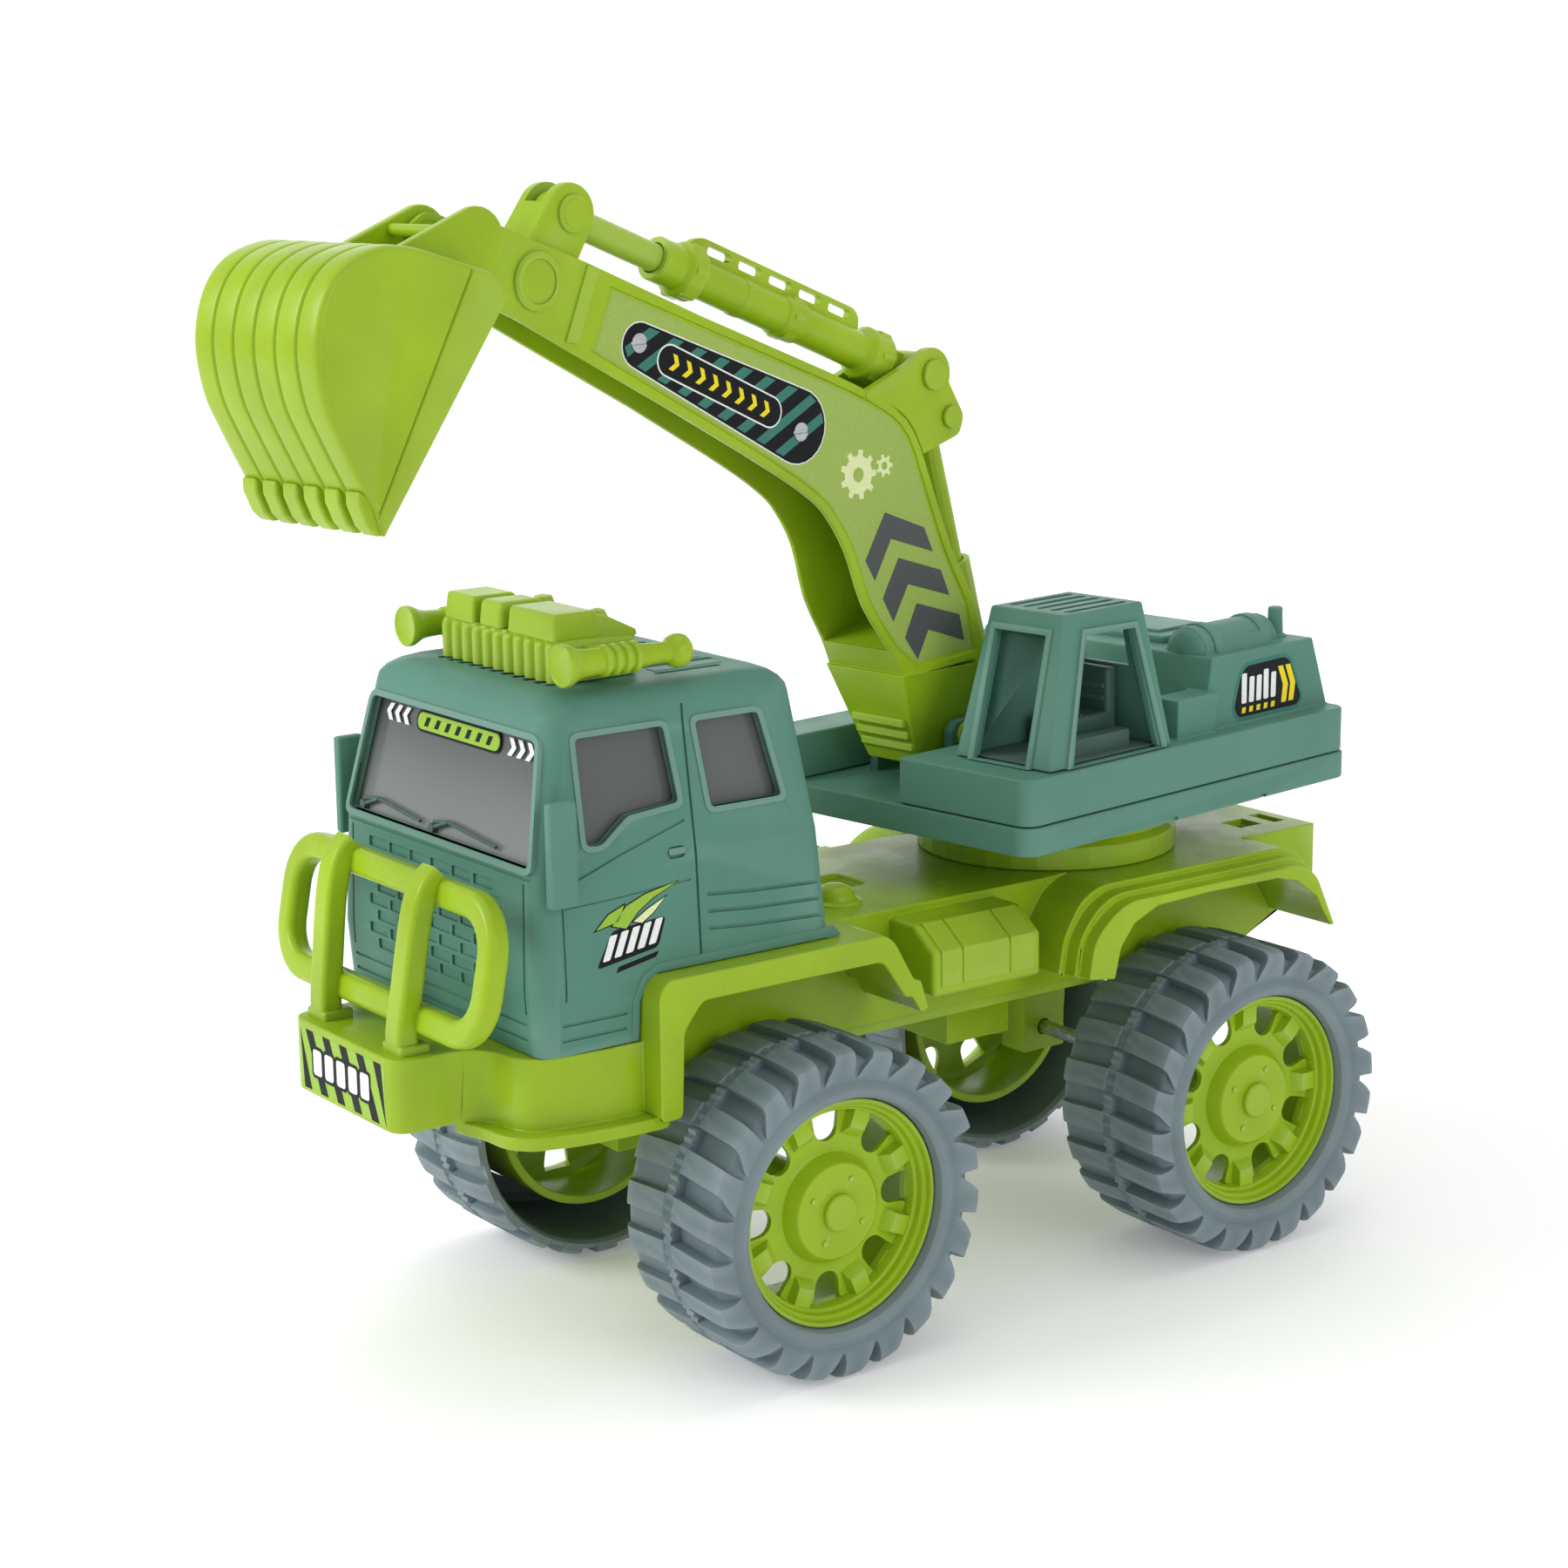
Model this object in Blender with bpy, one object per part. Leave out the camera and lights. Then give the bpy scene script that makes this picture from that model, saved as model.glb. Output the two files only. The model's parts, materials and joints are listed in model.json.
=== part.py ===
"""Toy excavator: a slewing excavator top on a four-wheel truck chassis, modelled in Blender.

The design is drawn in millimetres in the truck's own frame: the front of the truck is -Y, +Z is
up, the ground is z = 0 and the front axle is y = 0. One empty, truck_frame, moves that frame so
that the model's origin is at the middle of its footprint. The excavator top is drawn in the slew
frame, whose origin is on the swing axis at ground height. Every moving body hangs on an empty that
stands on its joint's axis.
"""
from math import atan2, cos, hypot, pi, radians, sin

import bmesh
import bpy
from mathutils import Matrix, Vector

MM = 0.001
FIT = 0.3                    # gap between neighbouring pieces
WALL = 2.5                   # moulded wall thickness

# Running gear
TYRE_RADIUS = 50.0
TYRE_WIDTH = 45.2
TRACK_OUTER = 87.3           # outer sidewall, from the centre plane
RIM_RADIUS = 34.5
RIM_FACE = 83.2
WHEELBASE = 169.0
AXLE_HEIGHT = TYRE_RADIUS
AXLE_RADIUS = 2.5
RIM_WINDOWS = 8

# Chassis and driver's cab
FRAME_CENTRE_Y = 46.02       # middle of the whole toy, behind the front axle
DECK_HALF = 38.0
DECK_TOP = 123.5
DECK_REAR = 238.0
CAB_FLOOR = 105.7
FENDER_TOP = 125.0
FENDER_OUTER = 66.0
BUMPER_FRONT = -117.0
CAB_ROOF = 206.5

# Excavator top
SWING_Y = 150.0
SWING_ANGLE = radians(8.0)   # slewed towards the left-hand side at rest
TURRET_HALF = 60.5
TURRET_FRONT = -78.0
TURRET_REAR = 86.0
SKIRT_BOTTOM = 141.0
SKIRT_TOP = 150.0
TURRET_DECK = 165.0
POST_RADIUS = 11.0
BOOM_X = -18.0               # centre plane of the boom and bucket
PIT_HALF = 24.0
BUCKET_HALF = 28.0

# Joint centres of the digging arm, as (y, z) in the slew frame
BOOM_PIVOT = (-40.0, 166.0)
BUCKET_PIVOT = (-231.5, 330.8)
ROCKER_PIVOT = (-207.9, 318.6)
LUG_PIVOT = (-192.0, 336.5)
CYLINDER_PIVOT = (-49.0, 281.8)
STRUT_TOP = (-41.0, 268.0)
STRUT_FOOT = (-10.0, 160.0)

LIME = (0.36, 0.52, 0.035)
TEAL = (0.13, 0.31, 0.235)
DARK_TEAL = (0.07, 0.18, 0.14)
TYRE_GREY = (0.13, 0.18, 0.21)
PANE_GREY = (0.13, 0.14, 0.145)
STEEL = (0.55, 0.56, 0.58)


# ---------------------------------------------------------------- modelling helpers

def clear_scene():
    for item in list(bpy.data.objects):
        bpy.data.objects.remove(item)


def new_object(name, bm):
    """Turn a bmesh drawn in millimetres into an object in metres."""
    bmesh.ops.scale(bm, vec=(MM, MM, MM), verts=bm.verts)
    bmesh.ops.recalc_face_normals(bm, faces=bm.faces)
    mesh = bpy.data.meshes.new(name)
    bm.to_mesh(mesh)
    bm.free()
    piece = bpy.data.objects.new(name, mesh)
    bpy.context.scene.collection.objects.link(piece)
    return piece


def loft(rings, closed=False):
    """Skin a list of rings of points that all have the same number of corners."""
    bm = bmesh.new()
    rows = [[bm.verts.new(point) for point in ring] for ring in rings]
    count = len(rows[0])
    pairs = list(zip(rows, rows[1:]))
    if closed:
        pairs.append((rows[-1], rows[0]))
    for low, high in pairs:
        for i in range(count):
            j = (i + 1) % count
            bm.faces.new((low[i], low[j], high[j], high[i]))
    if not closed:
        bm.faces.new(rows[0])
        bm.faces.new(rows[-1])
    return new_object("solid", bm)


def prism(axis, outline, low, high):
    """Extrude a closed outline along an axis; the outline's two numbers keep the order x, y, z."""
    def point(pair, along):
        place = list(pair)
        place.insert("xyz".index(axis), along)
        return place
    return loft([[point(pair, low) for pair in outline], [point(pair, high) for pair in outline]])


def box(x, y, z):
    outline = [(x[0], y[0]), (x[1], y[0]), (x[1], y[1]), (x[0], y[1])]
    return prism("z", outline, z[0], z[1])


def frustum(base, top):
    """A four-sided block between two level rectangles, each (x range, y range, height)."""
    rings = []
    for x, y, z in (base, top):
        rings.append([(x[0], y[0], z), (x[1], y[0], z), (x[1], y[1], z), (x[0], y[1], z)])
    return loft(rings)


def arc(centre, radius, start, end, steps):
    """Points on an arc, with the angles in degrees."""
    points = []
    for i in range(steps + 1):
        angle = radians(start + (end - start) * i / steps)
        points.append((centre[0] + radius * cos(angle), centre[1] + radius * sin(angle)))
    return points


def rounded_rectangle(x, y, radius, steps=4):
    corners = ((x[1], y[1], 0), (x[0], y[1], 90), (x[0], y[0], 180), (x[1], y[0], 270))
    signs = ((-1, -1), (1, -1), (1, 1), (-1, 1))
    points = []
    for (cx, cy, start), (sx, sy) in zip(corners, signs):
        centre = (cx + sx * radius, cy + sy * radius)
        points += arc(centre, radius, start, start + 90, steps)
    return points


def turned(profile, axis, centre, steps=28):
    """Turn a closed profile of (radius, along) points about a line parallel to an axis.

    centre holds the line's two other coordinates, in the order x, y, z.
    """
    bm = bmesh.new()
    columns = []
    for radius, along in profile:
        column = []
        for i in range(steps if radius > 0 else 1):
            angle = 2 * pi * i / steps
            place = [centre[0] + radius * cos(angle), centre[1] + radius * sin(angle)]
            place.insert("xyz".index(axis), along)
            column.append(bm.verts.new(place))
        columns.append(column)
    for low, high in zip(columns, columns[1:] + columns[:1]):
        if len(low) == 1 and len(high) == 1:
            continue
        for i in range(steps):
            j = (i + 1) % steps
            corners = [low[i % len(low)], low[j % len(low)], high[j % len(high)], high[i % len(high)]]
            bm.faces.new(list(dict.fromkeys(corners)))
    return new_object("turned", bm)


def rod(radius, axis, centre, low, high, steps=14):
    return turned([(0, low), (radius, low), (radius, high), (0, high)], axis, centre, steps)


def tube(points, radius, sides=10, closed=False):
    """Sweep a regular polygon along a path of points."""
    path = [Vector(point) for point in points]
    count = len(path)
    rings = []
    for i, point in enumerate(path):
        before = path[i - 1] if closed or i > 0 else point
        after = path[(i + 1) % count] if closed or i < count - 1 else point
        forward = ((point - before).normalized() + (after - point).normalized()).normalized()
        side = forward.cross(Vector((0, 1, 0)))
        if side.length < 0.1:
            side = forward.cross(Vector((1, 0, 0)))
        side.normalize()
        up = side.cross(forward)
        bend = max(forward.dot((after - before).normalized()), 0.5)
        ring = []
        for k in range(sides):
            angle = 2 * pi * (k + 0.5) / sides
            ring.append(point + (side * cos(angle) + up * sin(angle)) * radius / bend)
        rings.append(ring)
    return loft(rings, closed)


def evaluated_mesh(piece):
    bpy.context.view_layer.update()
    graph = bpy.context.evaluated_depsgraph_get()
    return bpy.data.meshes.new_from_object(piece.evaluated_get(graph))


def combine(piece, tool, operation):
    """Apply one Boolean and delete the tool."""
    modifier = piece.modifiers.new(operation, "BOOLEAN")
    modifier.operation = operation
    modifier.object = tool
    mesh = evaluated_mesh(piece)
    piece.modifiers.clear()
    piece.data = mesh
    bpy.data.objects.remove(tool)
    return piece


def add(piece, *tools):
    for tool in tools:
        combine(piece, tool, "UNION")
    return piece


def cut(piece, *tools):
    for tool in tools:
        combine(piece, tool, "DIFFERENCE")
    return piece


def mirrored(points):
    """Complete an outline drawn from the centre plane out along +X with its mirror image."""
    return points + [(-x, y) for x, y in reversed(points)]


class Frame:
    """An empty on a joint's axis, with the place that it takes in its parent's drawing."""

    def __init__(self, name, parent=None, place=(0, 0, 0), turn=0.0):
        self.place = Vector(place)
        self.empty = bpy.data.objects.new(name, None)
        bpy.context.scene.collection.objects.link(self.empty)
        offset = self.place
        if parent:
            self.empty.parent = parent.empty
            offset = self.place - parent.origin
        self.empty.location = offset * MM
        self.empty.rotation_euler = (0, 0, turn)
        self.origin = self.place if parent and not turn else Vector((0, 0, 0))


def arm_frame(name, parent, pivot):
    return Frame(name, parent, (BOOM_X, pivot[0], pivot[1]))


def hang(piece, name, frame, colour, roughness=0.38, metallic=0.0):
    """Name a piece, hang it on its frame's empty and give it its material."""
    piece.name = name
    piece.data.name = name
    piece.data.transform(Matrix.Translation(-frame.origin * MM))
    piece.parent = frame.empty
    piece.data.shade_smooth()
    piece.data.set_sharp_from_angle(angle=radians(32))
    material = bpy.data.materials.new(name)
    material.use_nodes = True
    shader = material.node_tree.nodes["Principled BSDF"]
    shader.inputs["Base Color"].default_value = (*colour, 1)
    shader.inputs["Roughness"].default_value = roughness
    shader.inputs["Metallic"].default_value = metallic
    piece.data.materials.clear()
    piece.data.materials.append(material)
    return piece


def tilted(piece, start, end):
    """Turn a piece drawn along +Z from the boom plane's origin onto the line from start to end."""
    lean = atan2(end[0] - start[0], end[1] - start[1])
    move = Matrix.Translation(Vector((BOOM_X, start[0], start[1])) * MM)
    piece.data.transform(move @ Matrix.Rotation(-lean, 4, "X"))
    return piece


def capsule(circles, steps=10):
    """Convex outline round circles (y, z, radius), by walking round them anticlockwise."""
    points = []
    for y, z, radius in circles:
        points += arc((y, z), radius, 0, 360 - 360 / steps, steps - 1)
    hull = []
    for sweep in (sorted(points), sorted(points, reverse=True)):
        chain = []
        for point in sweep:
            while len(chain) > 1 and turn_of(chain[-2], chain[-1], point) <= 1e-6:
                chain.pop()
            chain.append(point)
        hull += chain[:-1]
    return hull


def turn_of(a, b, c):
    return (b[0] - a[0]) * (c[1] - a[1]) - (b[1] - a[1]) * (c[0] - a[0])


def arm_pin(name, frame, pivot, radius, half, head=0.0):
    """A cross pin through the arm; a head is a wider disc at each end."""
    if head:
        profile = [(0, -half - 1.4), (head, -half - 1.4), (head, -half), (radius, -half),
                   (radius, half), (head, half), (head, half + 1.4), (0, half + 1.4)]
    else:
        profile = [(0, -half), (radius, -half), (radius, half), (0, half)]
    pin = turned([(r, BOOM_X + x) for r, x in profile], "x", pivot, 14)
    return hang(pin, name, frame, LIME)


# ---------------------------------------------------------------- chassis

def chassis_shell(truck):
    """Deck, bumper, mudguards and side boxes, moulded as one tub that is open underneath."""
    spine = [(-60, 86), (-60, CAB_FLOOR - 0.4), (-50, CAB_FLOOR - 0.4), (-50, FENDER_TOP - 0.4),
             (24, FENDER_TOP - 0.4), (26, DECK_TOP), (DECK_REAR, DECK_TOP), (DECK_REAR, 104),
             (205, 88), (-40, 88), (-40, 86)]
    shell = prism("x", spine, -DECK_HALF, DECK_HALF)
    bumper = mirrored([(26, BUMPER_FRONT), (29.5, -115.5), (31, -112), (31, -99), (33, -93), (38, -89.5),
                       (48, -88), (52.5, -85), (55, -76), (57, -62), (57, -44.5)])
    lip = mirrored([(30, -97), (40, -94), (50, -94), (57, -89), (61, -76), (63, -60), (63, -44)])
    add(shell, prism("z", bumper, 84, CAB_FLOOR), prism("z", lip, 80.5, 84.4))
    for side in (-1, 1):
        add(shell, *front_mudguard(side), *rear_mudguard(side), side_box(side))
    add(shell, rod(6.5, "z", (20, 46), DECK_TOP - 1, DECK_TOP + 4, 14))
    cut(shell, box((-35.5, 35.5), (-47, 235.5), (70, 121)))
    cut(shell, box((-28, 28), (-112, -46), (70, 103)))
    cut(shell, rod(POST_RADIUS + 0.4, "z", (0, SWING_Y), 100, 140, 20))
    for side in (-1, 1):
        cut(shell, box(sorted((side * 18, side * 27)), (214, 223), (110, 140)))
        cut(shell, box(sorted((side * 16, side * 28)), (229, 233), (110, 140)))
    return hang(shell, "chassis_shell", truck, LIME)


def front_mudguard(side):
    """An arch over the front wheel: a tall leg in front, a sloping hooked tail behind."""
    outline = [(-51, 83.5), (-51, 121), (-48, FENDER_TOP), (30, FENDER_TOP), (33.5, 122.5), (41, 109.5),
               (43.5, 109), (46.5, 99.5), (43.5, 98.5), (40, 104.5), (37.5, 104.5), (29, 117),
               (-36, 117), (-42.5, 109), (-43.5, 83.5)]
    return [prism("x", outline, *sorted((side * 36, side * FENDER_OUTER)))]


def rear_mudguard(side):
    """A stepped arch over the rear wheel, whose bands get lower towards the outside."""
    inner = [(217, 97), (213.5, 102), (210, 108), (201, 114.6), (192, 117), (163, 117.2),
             (139, 116.4), (129, 112.3), (123.5, 105.5), (121, 95.5)]
    bands = []
    for reach, drop in ((53, 0.0), (60, 1.6), (FENDER_OUTER + 1, 3.2)):
        outer = [(107 + drop, 97), (109 + drop, 109), (116 + drop, 119 - drop), (124 + drop, 123 - drop),
                 (205 - drop, 123 - drop), (213 - drop, 119 - drop), (222 - drop, 97)]
        bands.append(prism("x", outer + inner, *sorted((side * 36, side * reach))))
    return bands


def side_box(side):
    outline = [(side * 36, 121), (side * 50, 121), (side * 60, 114), (side * 60, 100), (side * 36, 100)]
    return prism("y", outline, 53, 96)


def chassis_base(truck):
    """Bottom plate with the four axle bearings hanging from it."""
    base = box((-35, 35), (-43, 204), (84, 87.7))
    for axle_y in (0, WHEELBASE):
        for side in (-1, 1):
            add(base, box(sorted((side * 22, side * 34)), (axle_y - 9, axle_y + 9), (42, 85)))
        cut(base, rod(AXLE_RADIUS + FIT, "x", (axle_y, AXLE_HEIGHT), -40, 40))
    add(base, box((-14, 14), (96, 122), (66, 85)))
    return hang(base, "chassis_base", truck, LIME)


def base_screws(truck):
    for number, (x, y) in enumerate(((-24, -30), (24, -30), (-24, 196), (24, 196)), 1):
        screw = rod(3.2, "z", (x, y), 81.4, 83.7, 12)
        cut(screw, box((x - 2.2, x + 2.2), (y - 0.4, y + 0.4), (80, 82.2)))
        hang(screw, f"base_screw_{number}", truck, STEEL, 0.3, 1.0)


def bull_bar(truck):
    """A closed rounded ring of bar with two upright posts in front of it."""
    ring = []
    for x, z in rounded_rectangle((-56.5, 56.5), (115, 151), 12, 4):
        ring.append((x, -104 + (z - 115) * 7 / 36, z))
    bar = tube(ring, 4.2, 8, closed=True)
    for side in (-1, 1):
        path = [(side * 22.3, -108.5, 106), (side * 22.3, -108.5, 114), (side * 24, -105, 138),
                (side * 24.5, -102, 150), (side * 24.5, -97, 156.5)]
        add(bar, tube(path, 4.6, 8))
    return hang(bar, "bull_bar", truck, LIME)


# ---------------------------------------------------------------- driver's cab

CAB_SECTIONS = (             # height, half-width, front, rear, corner radius
    (106.0, 56.0, -84.0, 18.0, 4.0),
    (125.0, 57.5, -85.0, 17.5, 4.0),
    (158.0, 56.0, -84.0, 15.0, 4.0),
    (199.0, 50.6, -75.7, 9.5, 4.0),
    (204.0, 47.0, -70.5, 6.5, 5.0),
    (CAB_ROOF, 41.0, -64.0, 1.0, 6.0),
)
DOOR_WINDOW = ((-68, 195), (-38.5, 195), (-35.5, 173), (-53, 171.5), (-62.5, 164.5), (-67.5, 165))
REAR_WINDOW = ((-27.5, 195), (-5.5, 195), (0.5, 170), (-24.5, 170))
WINDSCREEN = ((45.7, 194.5), (-45.7, 194.5), (-51, 160), (51, 160))
PANE_DEPTHS = (WALL + 0.8, WALL + 2.2)   # behind the outer face of the leaning wall


def cab_wall(height):
    """Half-width and front of the cab at a height between its waist and its roof edge."""
    low, high = CAB_SECTIONS[2], CAB_SECTIONS[3]
    share = (height - low[0]) / (high[0] - low[0])
    return low[1] + share * (high[1] - low[1]), low[2] + share * (high[2] - low[2])


def cab_body(inset, drop):
    """The cab's outer form, or its hollow when it is inset."""
    rings = []
    for height, half, front, rear, radius in CAB_SECTIONS:
        level = height - drop if height > CAB_SECTIONS[0][0] else height - 2 * inset
        outline = rounded_rectangle((inset - half, half - inset), (front + inset, rear - inset),
                                    radius - inset, 3)
        rings.append([(x, y, level) for x, y in outline])
    return loft(rings)


def cab_shell(truck):
    shell = cut(cab_body(0, 0), cab_body(WALL, WALL))
    cut(shell, box((-70, 70), (-51.5, 30), (90, FENDER_TOP + FIT)))
    for window in (DOOR_WINDOW, REAR_WINDOW):
        cut(shell, prism("x", window, -70, 70))
    cut(shell, prism("y", WINDSCREEN, -100, -60))
    return hang(shell, "cab_shell", truck, TEAL)


def pane(outline, side):
    """A side pane that lies just inside the leaning cab wall."""
    centre_y = sum(y for y, z in outline) / len(outline)
    centre_z = sum(z for y, z in outline) / len(outline)
    rings = []
    for depth in PANE_DEPTHS:
        ring = []
        for y, z in outline:
            grown_z = z + (1.5 if z > centre_z else -1.5)
            grown_y = y + (1.5 if y > centre_y else -1.5)
            ring.append((side * (cab_wall(grown_z)[0] - depth), grown_y, grown_z))
        rings.append(ring)
    return loft(rings)


def cab_windows(truck):
    rings = []
    for depth in PANE_DEPTHS:
        ring = []
        for x, z in WINDSCREEN:
            grown_z = z + (1.5 if z > 180 else -1.0)
            ring.append((x * 1.015, cab_wall(grown_z)[1] + depth, grown_z))
        rings.append(ring)
    hang(loft(rings), "windscreen", truck, PANE_GREY, 0.2)
    for side, name in ((1, "left"), (-1, "right")):
        hang(pane(DOOR_WINDOW, side), f"door_window_{name}", truck, PANE_GREY, 0.2)
        hang(pane(REAR_WINDOW, side), f"rear_window_{name}", truck, PANE_GREY, 0.2)


def roof_fittings(truck):
    """Ribbed light bar with lamp blocks, and a horn on a bracket at each side."""
    bottom = CAB_ROOF + FIT
    bar = box((-32, 32), (-62, -32), (bottom, 219))
    for low, high in ((-31, -13), (-10, 4), (7, 31)):
        add(bar, frustum(((low, high), (-60.5, -40), 218), ((low + 1, high - 1), (-59, -44), 226)))
    for side in (-1, 1):
        add(bar, box(sorted((side * 30, side * 38.8)), (-52, -46), (211, 217)))
    hang(bar, "roof_light_bar", truck, LIME)
    profile = [(0, -67), (6.2, -67), (5.6, -64), (3.6, -59), (3.6, -53), (4.2, -52), (4.2, -38),
               (3.2, -36), (3.2, -31), (4.8, -28), (4.8, -25), (2.5, -23.5), (0, -23.5)]
    for side, name in ((1, "left"), (-1, "right")):
        horn = turned(profile, "y", (side * 43.3, 214.2), 14)
        hang(horn, f"roof_horn_{name}", truck, LIME)


def mirrors(truck):
    for side, name in ((1, "left"), (-1, "right")):
        mirror = box(sorted((side * 58, side * 61.5)), (-83, -74), (150, 180))
        add(mirror, box(sorted((side * 55.9, side * 59)), (-78, -75), (162, 170)))
        hang(mirror, f"mirror_{name}", truck, TEAL)


# ---------------------------------------------------------------- wheels

def wheel_sets(truck):
    for name, axle_y, phase in (("front", 0.0, 0.0), ("rear", WHEELBASE, 0.5)):
        frame = Frame(f"{name}_axle_joint", truck, (0, axle_y, AXLE_HEIGHT))
        centre = (axle_y, AXLE_HEIGHT)
        hang(rod(AXLE_RADIUS, "x", centre, -78.5, 78.5), f"{name}_axle", frame, STEEL, 0.3, 1.0)
        for side, label in ((1, "left"), (-1, "right")):
            hang(rim(side, centre, phase), f"{name}_rim_{label}", frame, LIME)
            hang(tyre(side, centre), f"{name}_tyre_{label}", frame, TYRE_GREY, 0.6)


def rim(side, centre, phase):
    """Dished wheel disc with a hub tube for the axle and a ring of windows, turned by a part of their pitch."""
    profile = [(2.8, 46), (8.5, 46), (8.5, 73.5), (31.8, 73.5), (31.8, 50), (RIM_RADIUS, 50),
               (RIM_RADIUS, RIM_FACE), (32, RIM_FACE), (30, 77.5), (15, 77.5), (13, 80.5), (6, 80.5),
               (6, 83), (0, 83), (0, 79), (2.8, 79)]
    disc = turned([(r, side * x) for r, x in profile], "x", centre, 24)
    window = ((20.2, 1.9), (21.6, 3.8), (23.6, 4.6), (28.9, 4.6),
              (28.9, -4.6), (23.6, -4.6), (21.6, -3.8), (20.2, -1.9))
    for number in range(RIM_WINDOWS):
        angle = 2 * pi * (number + phase) / RIM_WINDOWS
        corners = []
        for outward, across in window:
            corners.append((centre[0] + outward * sin(angle) + across * cos(angle),
                            centre[1] + outward * cos(angle) - across * sin(angle)))
        cut(disc, prism("x", corners, *sorted((side * 70, side * 82))))
    return disc


def tyre(side, centre):
    inner = TRACK_OUTER - TYRE_WIDTH
    profile = [(34.8, inner + 1), (45.5, inner), (TYRE_RADIUS, inner + 5), (TYRE_RADIUS, TRACK_OUTER - 7),
               (46, TRACK_OUTER), (38, TRACK_OUTER - 0.6), (34.8, RIM_FACE + 0.5)]
    return turned([(r, side * x) for r, x in profile], "x", centre, 36)


# ---------------------------------------------------------------- excavator top

def turntable(truck):
    profile = [(POST_RADIUS + 0.4, DECK_TOP + FIT), (43, DECK_TOP + FIT), (43, 131), (41, 133),
               (41, SKIRT_BOTTOM - FIT), (POST_RADIUS + 0.4, SKIRT_BOTTOM - FIT)]
    ring = turned(profile, "z", (0, SWING_Y), 32)
    return hang(ring, "turntable_ring", truck, LIME)


def turret_base(slew):
    """Skirt plate with the swing post below it and the arm's two brackets standing in the pit."""
    outline = rounded_rectangle((-TURRET_HALF, TURRET_HALF), (TURRET_FRONT, TURRET_REAR), 6)
    base = prism("z", outline, SKIRT_BOTTOM, SKIRT_TOP)
    add(base, rod(POST_RADIUS, "z", (0, 0), 120.2, SKIRT_BOTTOM + 1, 20))
    for side in (-1, 1):
        x = sorted((BOOM_X + side * 14.7, BOOM_X + side * 18))
        add(base, prism("x", [(-47, 148), (-47, 168), (-44, 171), (-36, 171), (-33, 168), (-33, 148)], *x))
        x = sorted((BOOM_X + side * 6.9, BOOM_X + side * 10))
        add(base, prism("x", [(-16, 148), (-16, 162), (-13, 166), (-7, 166), (-4, 162), (-4, 148)], *x))
    cut(base, rod(3.3, "x", BOOM_PIVOT, BOOM_X - 19, BOOM_X + 19))
    cut(base, rod(2.8, "x", STRUT_FOOT, BOOM_X - 11, BOOM_X + 11))
    cut(base, rod(2.1, "z", (0, 0), 110, 132))
    hang(base, "turret_base", slew, TEAL)
    washer = turned([(2.1, 117.2), (17, 117.2), (17, 119.9), (2.1, 119.9)], "z", (0, 0), 20)
    hang(washer, "swing_washer", slew, LIME)
    screw = turned([(0, 114.2), (4, 114.2), (4, 116.9), (1.8, 116.9), (1.8, 131), (0, 131)], "z", (0, 0), 14)
    hang(screw, "swing_screw", slew, STEEL, 0.3, 1.0)


def turret_body(slew):
    """Upper deck with the boom pit, the engine housing and its fittings."""
    outline = rounded_rectangle((-60, 60), (TURRET_FRONT + 0.6, TURRET_REAR - 0.6), 5.5)
    body = prism("z", outline, SKIRT_TOP + FIT, TURRET_DECK)
    add(body, frustum(((-54, 52.6), (15.6, 84.2), 163), ((-50, 49.3), (25, 79), 188)))
    add(body, frustum(((43, 54.5), (1, 20), 163), ((42, 53), (3, 24), 177.5)))
    tank = rod(8.5, "y", (36, 188), 28, 66, 16)
    add(body, tank, rod(2.5, "z", (38, 73), 186, 198, 12))
    cut(body, box((BOOM_X - PIT_HALF, BOOM_X + PIT_HALF), (-100, 8), (140, 200)))
    return hang(body, "turret_body", slew, TEAL)


def turret_cab(slew):
    """Open-sided operator's cab: four leaning pillars under a grooved roof."""
    deck = TURRET_DECK + FIT
    cab = frustum(((18, 57.5), (-64.5, -6), deck), ((18, 48.5), (-48, -10.5), 211))
    cut(cab, frustum(((21, 54.5), (-61.5, -9), deck - 2), ((21, 45.5), (-45, -13.5), 208)))
    cut(cab, prism("x", [(-54.7, 160), (-11.5, 160), (-16.5, 203.5), (-40, 204)], 36, 70))
    cut(cab, prism("y", [(26, 160), (47.5, 160), (43.5, 204.5), (22.5, 204.5)], -70, -44))
    cut(cab, prism("y", [(24, 190), (44, 190), (42, 204), (24, 204)], -20, 0))
    hang(cab, "turret_cab", slew, TEAL)
    seat = box((25, 42), (-36, -14), (deck, 176))
    add(seat, box((25, 42), (-19, -14), (175, 190)))
    hang(seat, "operator_seat", slew, DARK_TEAL, 0.5)


# ---------------------------------------------------------------- digging arm

# Outer point, inner point and half-width of the boom at each station from its tip to its foot
BOOM_STATIONS = (
    ((-237.2, 335.2), (-238.3, 328.3), 9.8),
    ((-231.5, 338.1), (-235.5, 324.7), 9.8),
    ((-223.6, 335.8), (-227.0, 314.2), 9.8),
    ((-208.6, 330.0), (-214.5, 308.0), 9.8),
    ((-188.5, 322.8), (-198.4, 299.5), 9.8),
    ((-146.2, 305.7), (-158.0, 278.7), 10.4),
    ((-94.1, 285.7), (-119.8, 257.9), 11.4),
    ((-69.3, 274.6), (-103.0, 247.5), 12.0),
    ((-57.5, 265.0), (-95.5, 240.5), 12.2),
    ((-49.4, 246.5), (-88.3, 229.3), 12.6),
    ((-42.0, 227.0), (-82.0, 212.1), 13.8),
    ((-34.0, 210.0), (-72.0, 197.0), 15.6),
    ((-29.0, 190.0), (-66.5, 188.0), 17.4),
)


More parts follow.
